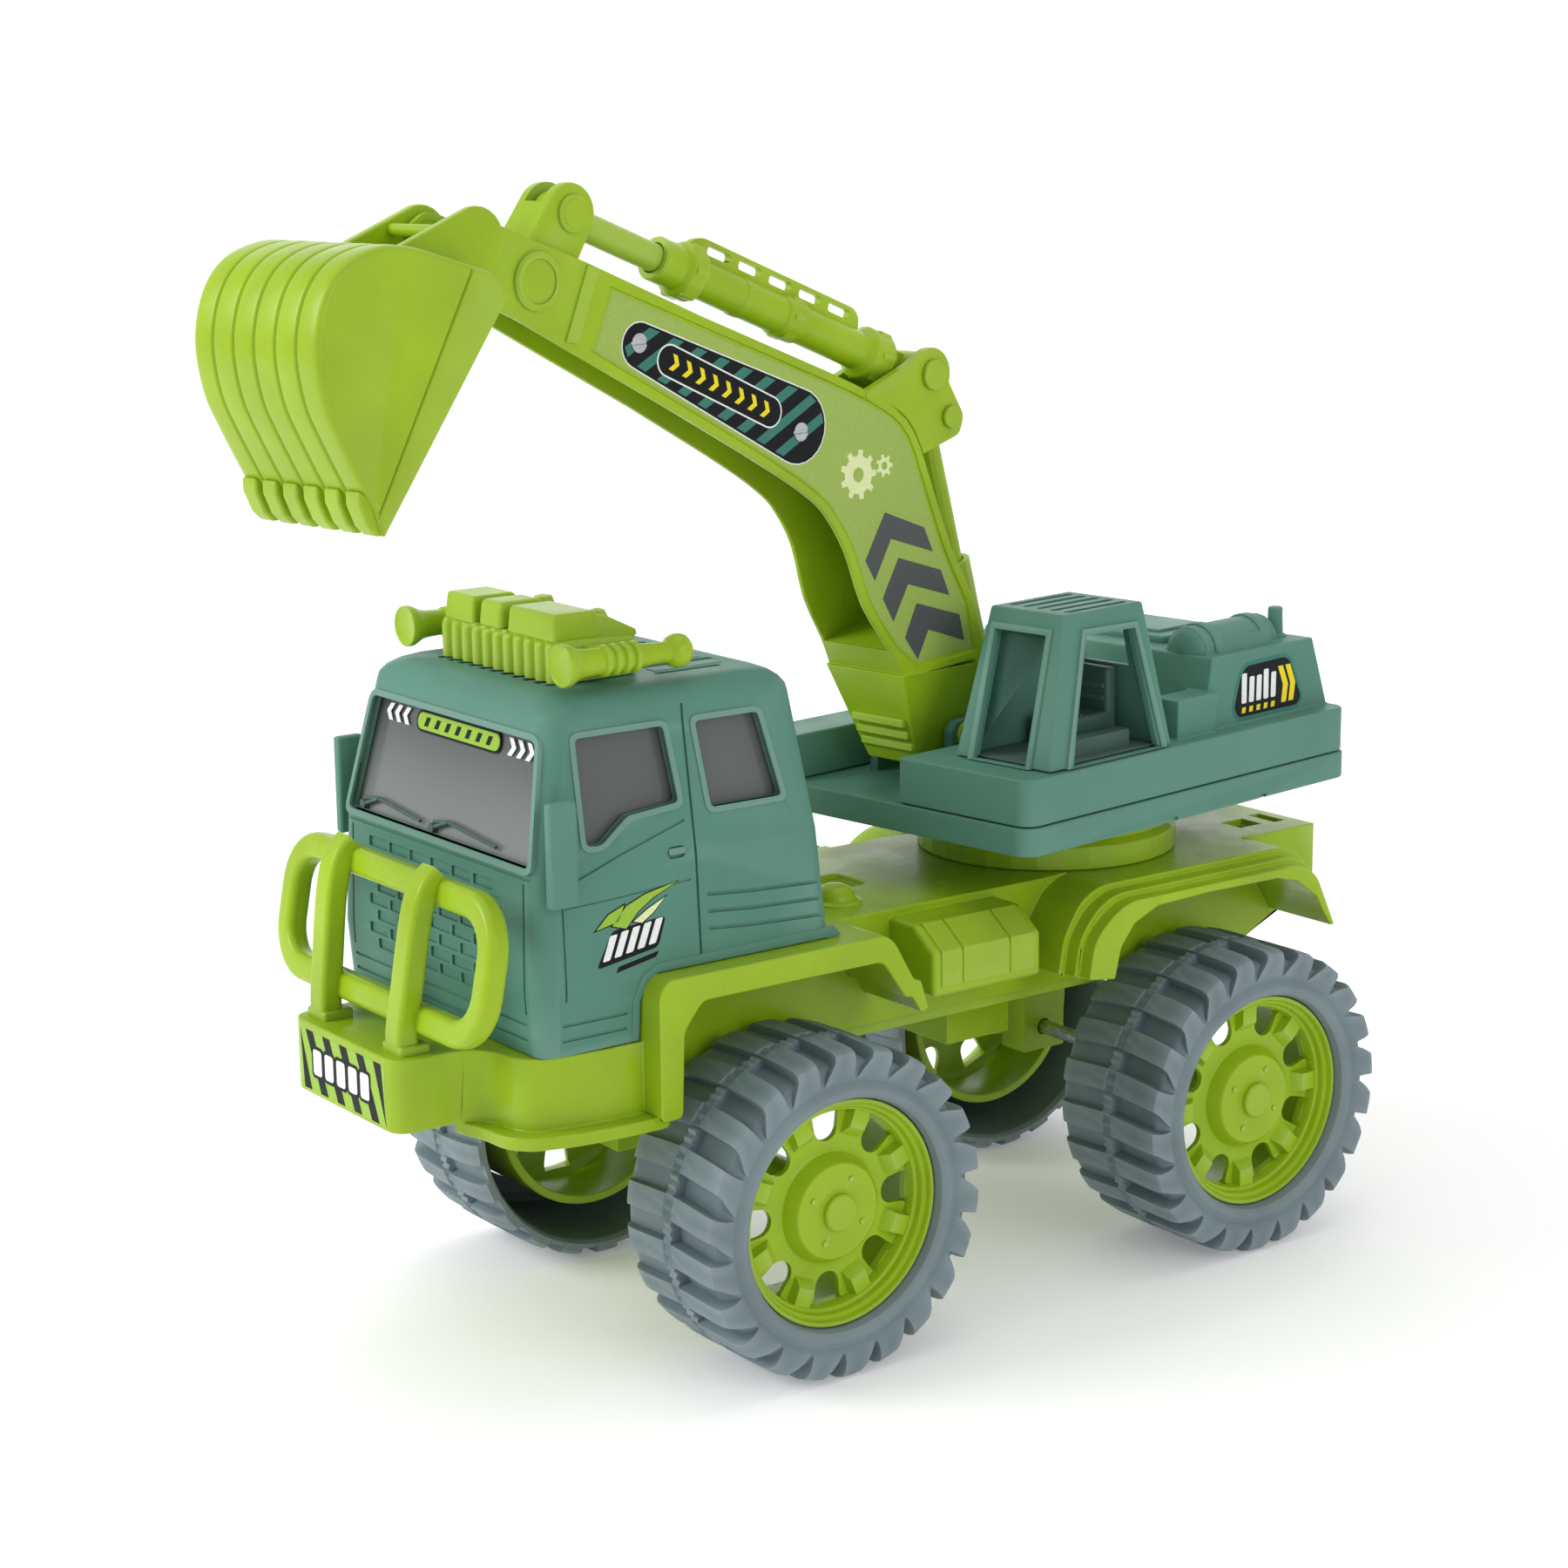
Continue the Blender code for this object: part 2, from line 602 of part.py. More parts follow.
def boom_form(stations, inset, web, reach):
    """Skin the boom's stations; the hollow is inset at the sides and web, and reaches past the inner edge."""
    rings = []
    for outer, inner, half in stations:
        span = Vector(inner) - Vector(outer)
        step = span.normalized()
        top = Vector(outer) + step * web
        low = Vector(inner) + step * reach
        x = half - inset
        rings.append([(BOOM_X - x, *top), (BOOM_X + x, *top), (BOOM_X + x, *low), (BOOM_X - x, *low)])
    return loft(rings)


def boom(frame):
    """Inverted channel from the bucket pin to the boxed foot, with ears for the two cylinders."""
    body = boom_form(BOOM_STATIONS, 0, 0, 0)
    add(body, frustum(((BOOM_X - 11, BOOM_X + 11), (-55, -30), 157),
                      ((BOOM_X - 17.5, BOOM_X + 17.5), (-68, -28.5), 188.5)))
    ear = [(-80, 278), (-58, 286.5), *arc(CYLINDER_PIVOT, 8.5, 110, -20, 6),
           (-34, 268), (-36, 262), (-60, 255)]
    add(body, prism("x", ear, BOOM_X - 12, BOOM_X + 12))
    cut(body, boom_form(BOOM_STATIONS[:-1], 1.8, 2.0, 6))
    cut(body, prism("x", [(-80, 281), (-70, 296), (-20, 296), (-20, 240), (-52, 252), (-72, 276.5)],
                    BOOM_X - 8.6, BOOM_X + 8.6))
    cut(body, box((BOOM_X - 8, BOOM_X + 8), (-245, -176), (318, 350)))
    for side in (-1, 1):
        add(body, rod(8.2, "x", ROCKER_PIVOT, *sorted((BOOM_X + side * 9, BOOM_X + side * 10.8)), 20))
    for y, z in ((-62.6, 171.5), (-60.4, 167.3), (-58.2, 163.1)):
        add(body, box((BOOM_X - 11.5, BOOM_X + 11.5), (y, y + 6), (z - 1.4, z + 1.4)))
    cut(body, rod(3.1, "x", BUCKET_PIVOT, BOOM_X - 20, BOOM_X + 20))
    cut(body, rod(3.3, "x", ROCKER_PIVOT, BOOM_X - 9.5, BOOM_X + 9.5))
    cut(body, rod(3.3, "x", CYLINDER_PIVOT, BOOM_X - 20, BOOM_X + 20))
    cut(body, rod(2.8, "x", STRUT_TOP, BOOM_X - 20, BOOM_X + 20))
    cut(body, rod(3.3, "x", BOOM_PIVOT, BOOM_X - 20, BOOM_X + 20))
    hang(body, "boom", frame, LIME)


def rocker(frame):
    """Lever on the boom's nose: its lug takes the end of the arm cylinder."""
    outline = capsule([(*LUG_PIVOT, 9), (*ROCKER_PIVOT, 7), (-200, 322, 8)], 14)
    lever = prism("x", outline, BOOM_X - 7.3, BOOM_X + 7.3)
    y, z = LUG_PIVOT
    cut(lever, prism("x", [(y - 7.5, z + 14), (y - 9, z - 10), (y + 14, z - 16), (y + 14, z + 14)],
                     BOOM_X - 3.8, BOOM_X + 3.8))
    cut(lever, rod(3.3, "x", ROCKER_PIVOT, BOOM_X - 9, BOOM_X + 9))
    cut(lever, rod(2.5, "x", LUG_PIVOT, BOOM_X - 9, BOOM_X + 9))
    hang(lever, "rocker", frame, LIME)


BUCKET_BACK = ((-238, 323.5), (-264, 331), (-275, 331.8), (-286.5, 328), (-294, 319.5), (-297.2, 306),
               (-295, 292), (-290, 281), (-283, 268), (-277.5, 255.7))


def inset_outline(points, distance):
    """Move an open chain of points to its left by a distance, mitred at each corner."""
    moved = []
    for i, point in enumerate(points):
        here = Vector(point)
        before = (here - Vector(points[i - 1])).normalized() if i else None
        after = (Vector(points[i + 1]) - here).normalized() if i < len(points) - 1 else None
        first = before or after
        second = after or before
        middle = (first + second).normalized()
        normal = Vector((-middle.y, middle.x))
        moved.append(tuple(here + normal * distance / middle.dot(first)))
    return moved


def bucket(frame):
    """Curved scoop with side plates, six teeth and a pair of ears round the boom's nose."""
    left, right = BOOM_X - BUCKET_HALF, BOOM_X + BUCKET_HALF
    scoop = prism("x", BUCKET_BACK, left, right)
    hollow = inset_outline(BUCKET_BACK, 2.2)
    hollow = [(-233, 316), *hollow, (-268, 250)]
    cut(scoop, prism("x", hollow, left + 2, right - 2))
    pitch = 2 * BUCKET_HALF / 6
    for gap in range(-2, 3):
        x = BOOM_X + gap * pitch
        cut(scoop, box((x - 2, x + 2), (-300, -270), (240, 266)))
    foot = capsule([(*BUCKET_PIVOT, 9.4), (-255.5, 328.2, 0.8), (-239.5, 323.4, 0.8)], 18)
    for side in (-1, 1):
        add(scoop, prism("x", foot, *sorted((BOOM_X + side * 10.7, BOOM_X + side * 13.8))))
    add(scoop, rod(1.8, "x", (-241.8, 333.6), BOOM_X - 12, BOOM_X + 12, 12))
    cut(scoop, rod(3.1, "x", BUCKET_PIVOT, BOOM_X - 12.6, BOOM_X + 12.6))
    hang(scoop, "bucket", frame, LIME)


def arm_cylinder(barrel_frame, rod_frame):
    """Cylinder on top of the boom: the barrel turns on the boom's ear, the rod pushes the lug."""
    length = hypot(LUG_PIVOT[0] - CYLINDER_PIVOT[0], LUG_PIVOT[1] - CYLINDER_PIVOT[1])
    profile = [(0, 9), (5, 9), (5, 13), (8.4, 14), (8.4, 22), (6, 24), (6, 52), (6.6, 53), (6.6, 60), (6, 61),
               (6, 96), (8.4, 98), (8.4, 104), (6.6, 106), (6.6, 114), (4.7, 114), (4.7, 60), (0, 60)]
    barrel = turned(profile, "z", (0, 0), 14)
    add(barrel, box((-3, 3), (-4.5, 4.5), (4, 12)))
    add(barrel, rod(7, "x", (0, 0), -6.6, 6.6))
    rail = box((-1.3, 1.3), (5, 13.5), (30, 100))
    for start in (36, 52, 68, 84):
        cut(rail, box((-3, 3), (7.6, 11.8), (start, start + 11)))
    add(barrel, rail)
    cut(barrel, rod(3.3, "x", (0, 0), -9, 9))
    hang(tilted(barrel, CYLINDER_PIVOT, LUG_PIVOT), "arm_cylinder_barrel", barrel_frame, LIME)
    piston = rod(4.3, "z", (0, 0), length - 76, length - 10.5)
    add(piston, box((-3.2, 3.2), (-3, 3), (length - 12, length - 3)))
    add(piston, rod(6.2, "x", (0, length), -3.2, 3.2))
    cut(piston, rod(3.4, "x", (0, length), -9, 9))
    hang(tilted(piston, CYLINDER_PIVOT, LUG_PIVOT), "arm_cylinder_rod", rod_frame, LIME)


def lift_strut(barrel_frame, rod_frame):
    """Strut behind the boom, between the pit floor and the boom's rear ears."""
    length = hypot(STRUT_TOP[0] - STRUT_FOOT[0], STRUT_TOP[1] - STRUT_FOOT[1])
    profile = [(0, 4), (6, 6), (6, 62), (4, 62), (4, 20), (0, 20)]
    barrel = turned(profile, "z", (0, 0), 14)
    add(barrel, rod(6, "x", (0, 0), -6.3, 6.3))
    cut(barrel, rod(2.8, "x", (0, 0), -9, 9))
    hang(tilted(barrel, STRUT_FOOT, STRUT_TOP), "lift_strut_barrel", barrel_frame, LIME)
    piston = rod(3.6, "z", (0, 0), length - 72, length - 3)
    add(piston, rod(6.2, "x", (0, length), -6.3, 6.3))
    cut(piston, rod(4, "x", (0, length), -9, 9))
    hang(tilted(piston, STRUT_FOOT, STRUT_TOP), "lift_strut_rod", rod_frame, LIME)


def digging_arm(slew):
    boom_frame = arm_frame("boom_joint", slew, BOOM_PIVOT)
    bucket_frame = arm_frame("bucket_joint", boom_frame, BUCKET_PIVOT)
    rocker_frame = arm_frame("rocker_joint", boom_frame, ROCKER_PIVOT)
    cylinder_frame = arm_frame("arm_cylinder_joint", boom_frame, CYLINDER_PIVOT)
    piston_frame = arm_frame("arm_rod_joint", cylinder_frame, CYLINDER_PIVOT)
    strut_frame = arm_frame("lift_strut_joint", slew, STRUT_FOOT)
    strut_rod_frame = arm_frame("lift_rod_joint", strut_frame, STRUT_FOOT)
    boom(boom_frame)
    rocker(rocker_frame)
    bucket(bucket_frame)
    arm_cylinder(cylinder_frame, piston_frame)
    lift_strut(strut_frame, strut_rod_frame)
    arm_pin("boom_pin", slew, BOOM_PIVOT, 3, 18.3, 4.6)
    arm_pin("bucket_pin", boom_frame, BUCKET_PIVOT, 2.8, 12.3)
    arm_pin("rocker_pin", boom_frame, ROCKER_PIVOT, 3, 9.2)
    arm_pin("lug_pin", rocker_frame, LUG_PIVOT, 2.2, 7.6, 4.2)
    arm_pin("arm_cylinder_pin", boom_frame, CYLINDER_PIVOT, 3, 12.3, 4.8)
    arm_pin("strut_foot_pin", slew, STRUT_FOOT, 2.5, 10.3, 3.8)
    arm_pin("strut_top_pin", boom_frame, STRUT_TOP, 2.5, 12.3, 3.6)


def main():
    clear_scene()
    truck = Frame("truck_frame", place=(0, -FRAME_CENTRE_Y, 0))
    chassis_shell(truck)
    chassis_base(truck)
    base_screws(truck)
    bull_bar(truck)
    cab_shell(truck)
    cab_windows(truck)
    roof_fittings(truck)
    mirrors(truck)
    wheel_sets(truck)
    turntable(truck)
    slew = Frame("swing_joint", truck, (0, SWING_Y, 0), SWING_ANGLE)
    turret_base(slew)
    turret_body(slew)
    turret_cab(slew)
    digging_arm(slew)


main()
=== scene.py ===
"""Looks of the toy excavator: fine meshes, moulded-plastic materials and a white studio.

Pieces are drawn in millimetres, either in the truck's frame (front axle y = 0, front towards -Y,
ground z = 0) or in the slew frame of the excavator top, whose origin is on the swing axis. Both
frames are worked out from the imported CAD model, and each piece is moved to metres when it is hung
on its CAD body.
"""

import json
from math import atan2, cos, hypot, pi, radians, sin, sqrt

import bmesh
import bpy
from mathutils import Matrix, Quaternion, Vector
from mathutils.bvhtree import BVHTree


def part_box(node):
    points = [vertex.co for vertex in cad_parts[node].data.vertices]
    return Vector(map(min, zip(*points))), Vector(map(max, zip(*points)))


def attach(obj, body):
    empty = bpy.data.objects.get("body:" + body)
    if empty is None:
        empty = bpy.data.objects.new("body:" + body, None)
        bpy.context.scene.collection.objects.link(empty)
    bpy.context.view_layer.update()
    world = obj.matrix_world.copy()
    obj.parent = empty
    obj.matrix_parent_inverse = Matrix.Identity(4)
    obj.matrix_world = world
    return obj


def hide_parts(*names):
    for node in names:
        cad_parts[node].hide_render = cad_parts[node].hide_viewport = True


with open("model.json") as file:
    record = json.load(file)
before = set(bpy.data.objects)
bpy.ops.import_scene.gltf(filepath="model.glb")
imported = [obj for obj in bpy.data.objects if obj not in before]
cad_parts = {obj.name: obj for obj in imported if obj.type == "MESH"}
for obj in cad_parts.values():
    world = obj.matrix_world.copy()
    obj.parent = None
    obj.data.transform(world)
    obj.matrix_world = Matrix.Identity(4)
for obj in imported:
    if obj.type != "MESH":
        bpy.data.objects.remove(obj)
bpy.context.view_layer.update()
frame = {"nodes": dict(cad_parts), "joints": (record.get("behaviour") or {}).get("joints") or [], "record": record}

MM = 0.001
JOINTS = {joint["name"]: joint for joint in frame["joints"]}


def axle_y(name):
    low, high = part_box(name)
    return (low.y + high.y) / 2


def slew_matrix():
    swing = Vector(JOINTS["turret_swing"]["pos_m"])
    across = JOINTS["boom_lift"]["axis"]
    return Matrix.Translation((swing.x, swing.y, 0)) @ Matrix.Rotation(atan2(across[1], across[0]), 4, "Z")


TRUCK = Matrix.Translation((0, axle_y("front_axle"), 0)) @ Matrix.Scale(MM, 4)
SLEW = slew_matrix() @ Matrix.Scale(MM, 4)
TO_TRUCK = TRUCK.inverted()
TO_SLEW = SLEW.inverted()


def pivot(joint):
    """A joint's centre as (y, z) in the slew frame."""
    place = TO_SLEW @ Vector(JOINTS[joint]["pos_m"])
    return place.y, place.z


BUCKET_PIVOT = pivot("bucket_curl")
ROCKER_PIVOT = pivot("rocker_turn")
CYLINDER_PIVOT = pivot("arm_cylinder_swing")
BOOM_FOOT = pivot("boom_lift")
STRUT_TOP = (-41.0, 268.0)
LUG_PIVOT = (-192.0, 336.5)
BOOM_X = -18.0               # centre plane of the boom and bucket
SIDES = ((1, "left"), (-1, "right"))


def span(half):
    """The stretch along x that reaches a distance to both sides of the boom's centre plane."""
    return BOOM_X - half, BOOM_X + half


# ---------------------------------------------------------------- mesh helpers

def new_object(name, bm):
    """An object in the scene from a finished bmesh, with its normals turned outwards."""
    bmesh.ops.recalc_face_normals(bm, faces=bm.faces)
    mesh = bpy.data.meshes.new(name)
    bm.to_mesh(mesh)
    bm.free()
    piece = bpy.data.objects.new(name, mesh)
    bpy.context.scene.collection.objects.link(piece)
    return piece


def loft(rings, closed=False):
    """Skin a list of rings of points that all have the same number of corners."""
    bm = bmesh.new()
    rows = [[bm.verts.new(point) for point in ring] for ring in rings]
    count = len(rows[0])
    pairs = list(zip(rows, rows[1:]))
    if closed:
        pairs.append((rows[-1], rows[0]))
    for low, high in pairs:
        for i in range(count):
            j = (i + 1) % count
            bm.faces.new((low[i], low[j], high[j], high[i]))
    if not closed:
        bm.faces.new(rows[0])
        bm.faces.new(rows[-1])
    return new_object("loft", bm)


def prism(axis, outline, low, high):
    """Extrude a closed outline along an axis; the outline's two numbers keep the order x, y, z."""
    def point(pair, along):
        place = list(pair)
        place.insert("xyz".index(axis), along)
        return place
    return loft([[point(pair, low) for pair in outline], [point(pair, high) for pair in outline]])


def box(x, y, z):
    return prism("z", [(x[0], y[0]), (x[1], y[0]), (x[1], y[1]), (x[0], y[1])], z[0], z[1])


def beside(side, near, far):
    """The stretch of an axis between two distances from zero, on the side +1 or -1."""
    return sorted((side * near, side * far))


def outward(profile, face, side):
    """A profile of (radius, out) points set on a face that looks towards the side +1 or -1."""
    return [(radius, face + side * out) for radius, out in profile]


def frustum(base, top):
    """A four-sided block between two level rectangles, each (x range, y range, height)."""
    rings = []
    for x, y, z in (base, top):
        rings.append([(x[0], y[0], z), (x[1], y[0], z), (x[1], y[1], z), (x[0], y[1], z)])
    return loft(rings)


def arc(centre, radius, start, end, steps):
    """Points on an arc, with the angles in degrees."""
    points = []
    for i in range(steps + 1):
        angle = radians(start + (end - start) * i / steps)
        points.append((centre[0] + radius * cos(angle), centre[1] + radius * sin(angle)))
    return points


def rounded_rectangle(x, y, radius, steps=6):
    """Outline over an x range and a y range, with round corners."""
    corners = ((x[1], y[1], 0), (x[0], y[1], 90), (x[0], y[0], 180), (x[1], y[0], 270))
    signs = ((-1, -1), (1, -1), (1, 1), (-1, 1))
    points = []
    for (cx, cy, start), (sx, sy) in zip(corners, signs):
        points += arc((cx + sx * radius, cy + sy * radius), radius, start, start + 90, steps)
    return points


def turned(profile, axis, centre, steps=64):
    """Turn a closed profile of (radius, along) points about a line parallel to an axis."""
    bm = bmesh.new()
    columns = []
    for radius, along in profile:
        column = []
        for i in range(steps if radius > 0 else 1):
            angle = 2 * pi * i / steps
            place = [centre[0] + radius * cos(angle), centre[1] + radius * sin(angle)]
            place.insert("xyz".index(axis), along)
            column.append(bm.verts.new(place))
        columns.append(column)
    for low, high in zip(columns, columns[1:] + columns[:1]):
        if len(low) == 1 and len(high) == 1:
            continue
        for i in range(steps):
            j = (i + 1) % steps
            corners = [low[i % len(low)], low[j % len(low)], high[j % len(high)], high[i % len(high)]]
            bm.faces.new(list(dict.fromkeys(corners)))
    return new_object("turned", bm)


def rod(radius, axis, centre, low, high, steps=40):
    return turned([(0, low), (radius, low), (radius, high), (0, high)], axis, centre, steps)


def evaluated(piece):
    bpy.context.view_layer.update()
    graph = bpy.context.evaluated_depsgraph_get()
    return bpy.data.meshes.new_from_object(piece.evaluated_get(graph))


def applied(piece):
    """Make the piece's modifiers part of its mesh."""
    mesh = evaluated(piece)
    piece.modifiers.clear()
    piece.data = mesh
    return piece


def combine(piece, tool, operation):
    """Boolean of a piece with a tool, which is used up."""
    modifier = piece.modifiers.new(operation, "BOOLEAN")
    modifier.operation = operation
    modifier.object = tool
    applied(piece)
    bpy.data.objects.remove(tool)
    return piece


def add(piece, *tools):
    for tool in tools:
        combine(piece, tool, "UNION")
    return piece


def cut(piece, *tools):
    for tool in tools:
        combine(piece, tool, "DIFFERENCE")
    return piece


def joined(*pieces):
    """Several closed forms that only touch, kept as one object without a Boolean."""
    bm = bmesh.new()
    for piece in pieces:
        bm.from_mesh(piece.data)
        bpy.data.objects.remove(piece)
    return new_object("joined", bm)


def tidied(piece):
    """Join doubled corners and flat runs of facets."""
    bm = bmesh.new()
    bm.from_mesh(piece.data)
    bmesh.ops.remove_doubles(bm, verts=bm.verts, dist=0.01)
    bmesh.ops.dissolve_limit(bm, angle_limit=radians(0.6), verts=bm.verts, edges=bm.edges)
    bm.to_mesh(piece.data)
    bm.free()
    return piece


def rounded(piece, width, steps=2, angle=32):
    """Round the piece's sharp edges."""
    tidied(piece)
    modifier = piece.modifiers.new("edges", "BEVEL")
    modifier.width = width
    modifier.segments = steps
    modifier.limit_method = "ANGLE"
    modifier.angle_limit = radians(angle)
    modifier.use_clamp_overlap = False
    return applied(piece)


def from_cad(node, to_frame):
    """A copy of a CAD node's form in millimetres, with its corners joined again."""
    source = frame["nodes"][node].data
    bm = bmesh.new()
    corners = [bm.verts.new(to_frame @ vertex.co) for vertex in source.vertices]
    for polygon in source.polygons:
        bm.faces.new([corners[i] for i in polygon.vertices])
    bmesh.ops.remove_doubles(bm, verts=bm.verts, dist=0.005)
    bmesh.ops.dissolve_limit(bm, angle_limit=radians(0.3), verts=bm.verts, edges=bm.edges)
    return new_object(node, bm)


def smoothed(mesh, angle):
    for polygon in mesh.polygons:
        polygon.use_smooth = True
    mesh.set_sharp_from_angle(angle=radians(angle))


def hang(piece, name, body, place, material, replaces=(), angle=34):
    """Name a piece, move it to metres, smooth it, paint it and let it ride on its body."""
    piece.name = name
    piece.data.name = name
    piece.data.transform(place)
    smoothed(piece.data, angle)
    weigh = piece.modifiers.new("even_normals", "WEIGHTED_NORMAL")
    weigh.keep_sharp = True
    piece.data.materials.clear()
    piece.data.materials.append(material)
    if replaces:
        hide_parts(*replaces)
    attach(piece, body)
    return piece


def mirrored(points):
    """Complete an outline drawn from the centre plane out along +X with its mirror image."""
    return points + [(-x, y) for x, y in reversed(points)]


def spline(points, steps=5):
    """A smooth open chain through the points (Catmull-Rom)."""
    ends = [points[0], *points, points[-1]]
    smooth = []
    for a, b, c, d in zip(ends, ends[1:], ends[2:], ends[3:]):
        for i in range(steps):
            t = i / steps
            smooth.append(tuple(0.5 * (2 * q + (r - p) * t + (2 * p - 5 * q + 4 * r - s) * t * t
                                       + (3 * q - p - 3 * r + s) * t ** 3) for p, q, r, s in zip(a, b, c,
                                               d)))
    return [*smooth, points[-1]]


def inset(points, distance):
    """Move an open chain of (y, z) points to its left, mitred at each corner."""
    moved = []
    for i, point in enumerate(points):
        here = Vector(point)
        before = (here - Vector(points[i - 1])).normalized() if i else None
        after = (Vector(points[i + 1]) - here).normalized() if i < len(points) - 1 else None
        first = before or after
        second = after or before
        middle = (first + second).normalized()
        moved.append(tuple(here + Vector((-middle.y, middle.x)) * distance / middle.dot(first)))
    return moved


def hull(circles, steps=24):
    """Convex outline round circles (y, z, radius), anticlockwise."""
    points = []
    for y, z, radius in circles:
        points += arc((y, z), radius, 0, 360 - 360 / steps, steps - 1)
    outline = []
    for sweep in (sorted(points), sorted(points, reverse=True)):
        chain = []
        for point in sweep:
            while len(chain) > 1 and ((chain[-1][0] - chain[-2][0]) * (point[1] - chain[-2][1])
                                      - (chain[-1][1] - chain[-2][1]) * (point[0] - chain[-2][0])) <= 0:
                chain.pop()
            chain.append(point)
        outline += chain[:-1]
    return outline


def inset_loop(points, distance):
    """Move a closed clockwise or anticlockwise loop inwards by a distance."""
    area = sum(a[0] * b[1] - b[0] * a[1] for a, b in zip(points, points[1:] + points[:1]))
    sign = 1 if area > 0 else -1
    moved = []
    for i, point in enumerate(points):
        here = Vector(point)
        first = (here - Vector(points[i - 1])).normalized()
        second = (Vector(points[(i + 1) % len(points)]) - here).normalized()
        middle = first + second
        if middle.length < 1e-6:
            middle = first
        middle.normalize()
        moved.append(tuple(here + Vector((-middle.y, middle.x)) * sign * distance / max(middle.dot(first),
                0.3)))
    return moved


def softened(outline, radius, steps=4):
    """Round the corners of a closed outline."""
    points = []
    for i, corner in enumerate(outline):
        here = Vector(corner)
        before = Vector(outline[i - 1])
        after = Vector(outline[(i + 1) % len(outline)])
        reach = min(radius, (before - here).length * 0.45, (after - here).length * 0.45)
        start = here + (before - here).normalized() * reach
        end = here + (after - here).normalized() * reach
        for step in range(steps + 1):
            t = step / steps
            points.append(tuple(start * (1 - t) ** 2 + here * 2 * t * (1 - t) + end * t * t))
    return points


def between(start, end, steps=6):
    return [tuple(Vector(start).lerp(Vector(end), i / steps)) for i in range(steps + 1)]


def skin(place, outline, low, high):
    """A thin closed form on a curved wall; place(along, height, out) gives a point off the wall."""
    return loft([[place(along, height, out) for along, height in outline] for out in (low, high)])


def border(place, outer, inner, proud, sink):
    """A raised frame between two loops on a wall."""
    stages = ((outer, -sink), (outer, proud), (inner, proud), (inner, -sink))
    return loft([[place(along, height, out) for along, height in loop] for loop, out in stages],
                closed=True)


def groove(place, chain, width, depth):
    """A fine groove along a chain of points on a wall, as a cutter."""
    rings = []
    for i, point in enumerate(chain):
        here = Vector(point)
        before = Vector(chain[i - 1]) if i else here
        after = Vector(chain[i + 1]) if i < len(chain) - 1 else here
        run = (after - before).normalized()
        across = Vector((-run.y, run.x)) * width / 2
        corners = ((here + across, -depth), (here + across, 2.0), (here - across, 2.0),
                   (here - across, -depth))
        rings.append([place(corner.x, corner.y, out) for corner, out in corners])
    return loft(rings)


def swept_line(points, radius, sides=10):
    """A round bar along a chain of points."""
    path = [Vector(point) for point in points]
    rings = []
    for i, point in enumerate(path):
        before = path[i - 1] if i else point
        after = path[i + 1] if i < len(path) - 1 else point
        forward = (after - before).normalized()
        side = forward.cross(Vector((0.3, 0.5, 0.8))).normalized()
        up = side.cross(forward)
        rings.append([point + (side * cos(2 * pi * k / sides) + up * sin(2 * pi * k / sides)) * radius
                      for k in range(sides)])
    return loft(rings)


# ---------------------------------------------------------------- materials

